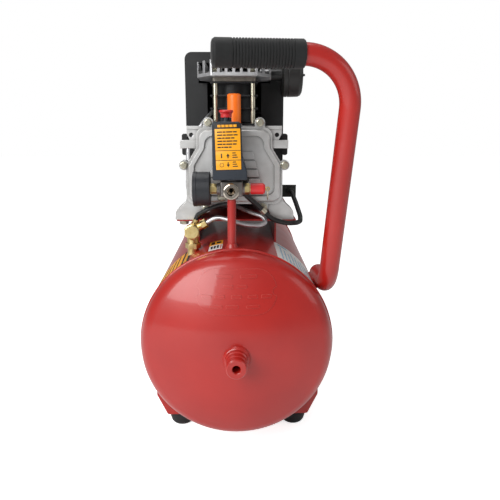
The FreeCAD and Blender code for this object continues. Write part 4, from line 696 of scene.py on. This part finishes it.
@dataclass
class TankStickers:
    """Films that follow the shell."""

    film: float = 0.35 * MM
    ink: float = 0.15 * MM
    sunk: float = 0.2 * MM
    facets: int = 360
    side_frame: Span = Span(-80.0, -30.0, 8.0, 98.0)
    side_field: Span = Span(-79.0, -35.5, 11.0, 95.0)
    side_title: Span = Span(-34.0, -31.6, 16.0, 22.0)
    title_step: float = 9.0
    side_line: Span = Span(-39.4, -38.4, 24.0, 88.0)
    side_bullet: Span = Span(-39.4, -38.0, 16.0, 19.0)
    side_step: float = -3.4
    small_white: Span = Span(-17.0, -8.6, 17.0, 79.0)
    small_yellow: Span = Span(-17.0, -8.6, 50.0, 79.0)
    small_blocks: tuple[Span, Span] = (Span(-16.0, -13.6, 55.0, 74.0), Span(-12.6, -9.6, 58.0, 71.0))
    small_bar: Span = Span(-15.8, -14.6, 25.0, 43.0)
    small_step: float = 1.9
    small_stripe: Span = Span(-9.9, -9.3, 20.0, 46.0)
    seam_spot: Span = Span(-20.5, -16.5, 3.0, 11.0)
    right_field: Span = Span(25.5, 56.0, 6.0, 124.0)
    right_line: Span = Span(29.0, 29.9, 18.0, 100.0)
    right_step: float = 2.8
    right_title: Span = Span(28.0, 35.0, 106.0, 118.0)
    axis_z: float = 0.0
    radius: float = 0.0
    seam_y: float = 0.0

    def build(self) -> None:
        """Make the side film, the small film by the stand pipe and the white label."""
        low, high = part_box("tank_shell")
        self.axis_z = (low.z + high.z) / 2
        self.radius = (high.x - low.x) / 2
        self.seam_y = low.y
        self.side_film()
        self.small_film()
        self.white_label()

    def patch(self, name: str, span: Span, proud: float) -> bpy.types.Object:
        """Thin film on part of the shell.

        Args:
            name: Name of the piece.
            span: Where it lies.
            proud: Height above the shell, in metres.

        Returns:
            The settled film with its thickness.
        """
        bpy.ops.object.select_all(action="DESELECT")
        middle = Vector((0, self.seam_y + (span.front + span.back) / 2 * MM, self.axis_z))
        length = (span.back - span.front) * MM
        bpy.ops.mesh.primitive_cylinder_add(vertices=self.facets, radius=self.radius + proud,
                                            depth=length, end_fill_type="NOTHING",
                                            location=middle, rotation=(math.pi / 2, 0, 0))
        piece = new_piece(name)
        bpy.ops.object.transform_apply(location=True, rotation=True, scale=True)
        bpy.ops.object.mode_set(mode="EDIT")
        for angle, sign in ((span.start, 1), (span.end, -1)):
            radians = math.radians(angle)
            normal = Vector((math.cos(radians), 0, -math.sin(radians))) * sign
            bpy.ops.mesh.select_all(action="SELECT")
            bpy.ops.mesh.bisect(plane_co=middle, plane_no=normal, clear_inner=True)
        bpy.ops.object.mode_set(mode="OBJECT")
        apply_modifier(piece, "SOLIDIFY", {"thickness": proud + self.sunk, "offset": -1.0})
        return settle(piece)

    def side_film(self) -> None:
        """Yellow film with a dark title strip on the left flank."""
        printed = self.film + self.ink
        frame = self.patch("side_film_frame", self.side_frame, self.film)
        dress(frame, BLACK_INK, FRAME)
        yellow = self.patch("side_film_field", self.side_field, printed)
        dress(yellow, YELLOW_VINYL, FRAME)
        title = [self.patch("bar", self.side_title.stepped(0.0, self.title_step * i), printed)
                 for i in range(8)]
        dress(merge("side_film_title", title), YELLOW_VINYL, FRAME)
        bars = [self.patch("bar", self.side_line.stepped(self.side_step * i, 0.0, 7.0 * (i % 3)),
                           printed + self.ink) for i in range(10)]
        bars += [self.patch("bar", self.side_bullet.stepped(self.side_step * i), printed + self.ink)
                 for i in range(10)]
        dress(merge("side_film_bars", bars), BLACK_INK, FRAME)

    def small_film(self) -> None:
        """Small film beside the stand pipe: yellow half with two dark blocks, white half with bars."""
        printed = self.film + self.ink
        white = self.patch("small_film_white", self.small_white, self.film)
        dress(white, WHITE_VINYL, FRAME)
        yellow = self.patch("small_film_yellow", self.small_yellow, printed)
        dress(yellow, YELLOW_VINYL, FRAME)
        dark = [self.patch("mark", block, printed + self.ink) for block in self.small_blocks]
        dark += [self.patch("mark", self.small_bar.stepped(self.small_step * i), printed) for i in range(3)]
        dress(merge("small_film_marks", dark), BLACK_INK, FRAME)
        red = self.patch("small_film_stripe", self.small_stripe, printed)
        dress(red, RED_INK, FRAME)
        spot = self.patch("seam_spot", self.seam_spot, self.film)
        dress(spot, YELLOW_VINYL, FRAME)

    def white_label(self) -> None:
        """White label with pale lines on the right shoulder."""
        printed = self.film + self.ink
        white = self.patch("right_label", self.right_field, self.film)
        dress(white, WHITE_VINYL, FRAME)
        bars = []
        for i in range(9):
            line = self.right_line.stepped(self.right_step * i, 4.0 * (i % 2), 4.0 * (i % 2) + 9.0 * (i % 3))
            bars.append(self.patch("bar", line, printed))
        bars.append(self.patch("bar", self.right_title, printed))
        dress(merge("right_label_lines", bars), BLUE_INK, FRAME)


# ---- gauge face ---------------------------------------------------------------------------------------

@dataclass
class GaugeFace:
    """Printed dial on the floor of the gauge case, which looks towards -X."""

    radius: float = 22.8 * MM
    depth: float = 8.0 * MM
    sheet: float = 0.25 * MM
    sweep: float = 270.0
    steps: int = 12
    low_angle: float = -135.0
    limit_share: float = 0.72
    number_share: float = 0.62
    number_size: float = 4.2 * MM
    centre: Vector = field(default_factory=Vector)

    def build(self) -> None:
        """Make the dial sheet, its ticks, its numbers and the red limit arc."""
        low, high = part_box("gauge_case")
        self.centre = Vector((low.x + self.depth - self.sheet, (low.y + high.y) / 2, (low.z + high.z) / 2))
        bpy.ops.object.select_all(action="DESELECT")
        bpy.ops.mesh.primitive_cylinder_add(vertices=96, radius=self.radius, depth=self.sheet,
                                            location=self.centre, rotation=(0, math.pi / 2, 0))
        dial = new_piece("gauge_dial")
        bpy.ops.object.transform_apply(location=True, rotation=True, scale=True)
        bpy.ops.object.mode_set(mode="EDIT")
        bpy.ops.mesh.select_all(action="SELECT")
        bpy.ops.mesh.bevel(offset=0.06 * MM, segments=2)
        bpy.ops.object.mode_set(mode="OBJECT")
        dress(settle(dial), WHITE_VINYL, FRAME)
        marks = [self.tick(i) for i in range(self.steps * 2 + 1)]
        marks += [self.number(i) for i in range(0, self.steps + 1, 2)]
        dress(merge("gauge_marks", marks), BLACK_INK, FRAME)
        limit = [self.tick_at(self.low_angle + self.sweep * (self.limit_share + 0.01 * i), 0.5, 0.55, 0.90)
                 for i in range(8)]
        dress(merge("gauge_limit", limit), RED_INK, FRAME)

    def tick_at(self, angle: float, width: float, inner: float, outer: float) -> bpy.types.Object:
        """Radial mark at an angle from the top, clockwise for someone who reads the dial."""
        inner_radius = self.radius * inner
        outer_radius = self.radius * outer
        proud = self.centre.x - self.sheet
        piece = slab("tick", Vector((proud, -width * MM / 2, inner_radius)),
                     Vector((proud + self.sheet, width * MM / 2, outer_radius)), 0.03 * MM)
        spot = Matrix.Translation((0, self.centre.y, self.centre.z))
        return move(piece, spot @ Matrix.Rotation(math.radians(angle), 4, "X"))

    def tick(self, i: int) -> bpy.types.Object:
        """Long tick on each step, short tick between."""
        angle = self.low_angle + self.sweep * i / (2 * self.steps)
        return self.tick_at(angle, 0.6 if i % 2 == 0 else 0.35, 0.78 if i % 2 == 0 else 0.84, 0.92)

    def number(self, i: int) -> bpy.types.Object:
        """Scale number beside its tick."""
        angle = math.radians(self.low_angle + self.sweep * i / self.steps)
        reach = self.radius * self.number_share
        bpy.ops.object.select_all(action="DESELECT")
        bpy.ops.object.text_add()
        text = bpy.context.view_layer.objects.active
        text.data.body = str(i)
        text.data.size = self.number_size
        text.data.extrude = 0.08 * MM
        text.data.align_x = "CENTER"
        text.data.align_y = "CENTER"
        bpy.ops.object.convert(target="MESH")
        piece = new_piece("number")
        spot = Vector((self.centre.x - self.sheet, self.centre.y - reach * math.sin(angle),
                       self.centre.z + reach * math.cos(angle)))
        facing = Matrix.Rotation(-math.pi / 2, 4, "Z") @ Matrix.Rotation(math.pi / 2, 4, "X")
        return move(piece, Matrix.Translation(spot) @ facing)


# ---- stage, light and camera --------------------------------------------------------------------------

@dataclass(frozen=True)
class SoftBox:
    """Square area light: its place and size in metres, its power in watts."""

    name: str
    place: tuple[float, float, float]
    size: float
    power: float


@dataclass
class Studio:
    """Pale floor, soft boxes and the camera."""

    boxes: tuple[SoftBox, ...] = (
        SoftBox("key", (-1.15, -1.75, 1.35), 1.5, 46.0),
        SoftBox("fill", (1.6, -0.7, 1.0), 0.9, 3.5),
        SoftBox("top", (-0.2, 0.2, 2.4), 1.4, 15.0))
    aim: tuple[float, float, float] = (0.0, -0.1, 0.35)
    floor_size: float = 14.0

    camera_place: tuple[float, float, float] = (0.007, -1.0725, 0.5254)
    pitch_down: float = 13.02
    heading: float = 1.01
    focal_share: float = 1.0534
    sensor: float = 36.0
    ambient: float = 0.28
    backdrop: float = 1.0
    backdrop_glow: float = 0.74

    def build(self) -> None:
        """Set up the stage, the lights and the camera."""
        self.floor()
        self.world()
        for box in self.boxes:
            self.soft_box(box)
        self.camera()

    def floor(self) -> None:
        """Large pale sheet under the feet and wheels."""
        bpy.ops.object.select_all(action="DESELECT")
        bpy.ops.mesh.primitive_plane_add(size=self.floor_size, location=(0, 2.0, 0))
        floor = new_piece("studio_floor")
        floor.data.materials.append(STUDIO_PAPER.material())
        tree = STUDIO_PAPER.material().node_tree
        shader = next(node for node in tree.nodes if node.type == "BSDF_PRINCIPLED")
        shader.inputs["Emission Color"].default_value = (1.0, 1.0, 1.0, 1.0)
        self.camera_only(tree, shader.inputs["Emission Strength"], 0.0, self.backdrop_glow)

    def camera_only(self, tree: bpy.types.NodeTree, socket: bpy.types.NodeSocket, usual: float,
                    seen: float) -> None:
        """Feed a socket one value for light and another for what the camera sees directly."""
        path = add_node(tree, "ShaderNodeLightPath")
        value = add_node(tree, "ShaderNodeMapRange", {3: usual, 4: seen}, {0: (path, "Is Camera Ray")})
        tree.links.new(value.outputs[0], socket)

    def world(self) -> None:
        """Even white surroundings."""
        world = bpy.data.worlds.new("studio_white")
        world.use_nodes = True
        background = world.node_tree.nodes["Background"]
        background.inputs["Color"].default_value = (1.0, 1.0, 1.0, 1.0)
        self.camera_only(world.node_tree, background.inputs["Strength"], self.ambient, self.backdrop)
        bpy.context.scene.world = world
        bpy.context.scene.view_settings.view_transform = "Standard"

    def soft_box(self, box: SoftBox) -> None:
        """Add a soft box that faces the middle of the machine."""
        bpy.ops.object.select_all(action="DESELECT")
        bpy.ops.object.light_add(type="AREA", location=box.place)
        lamp = bpy.context.view_layer.objects.active
        lamp.name = box.name
        lamp.data.size = box.size
        lamp.data.energy = box.power
        way = Vector(self.aim) - Vector(box.place)
        lamp.rotation_euler = way.to_track_quat("-Z", "Y").to_euler()

    def camera(self) -> None:
        """Camera in front of the outlet end, above the handle's middle, looking slightly down."""
        data = bpy.data.cameras.new("front_camera")
        data.sensor_width = self.sensor
        data.lens = self.focal_share * self.sensor
        camera = bpy.data.objects.new("front_camera", data)
        camera.location = self.camera_place
        camera.rotation_euler = (math.radians(90 - self.pitch_down), 0, math.radians(-self.heading))
        bpy.context.scene.collection.objects.link(camera)
        bpy.context.scene.camera = camera


def main() -> None:
    """Load the frame, dress it, add the printed and fitted details, and set the stage."""
    logging.basicConfig(level=logging.INFO)
    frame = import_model()
    Studio().build()
    dress_nodes(frame["nodes"])
    SwitchLabel().build()
    TankStickers().build()
    GaugeFace().build()


if __name__ == "__main__":
    main()
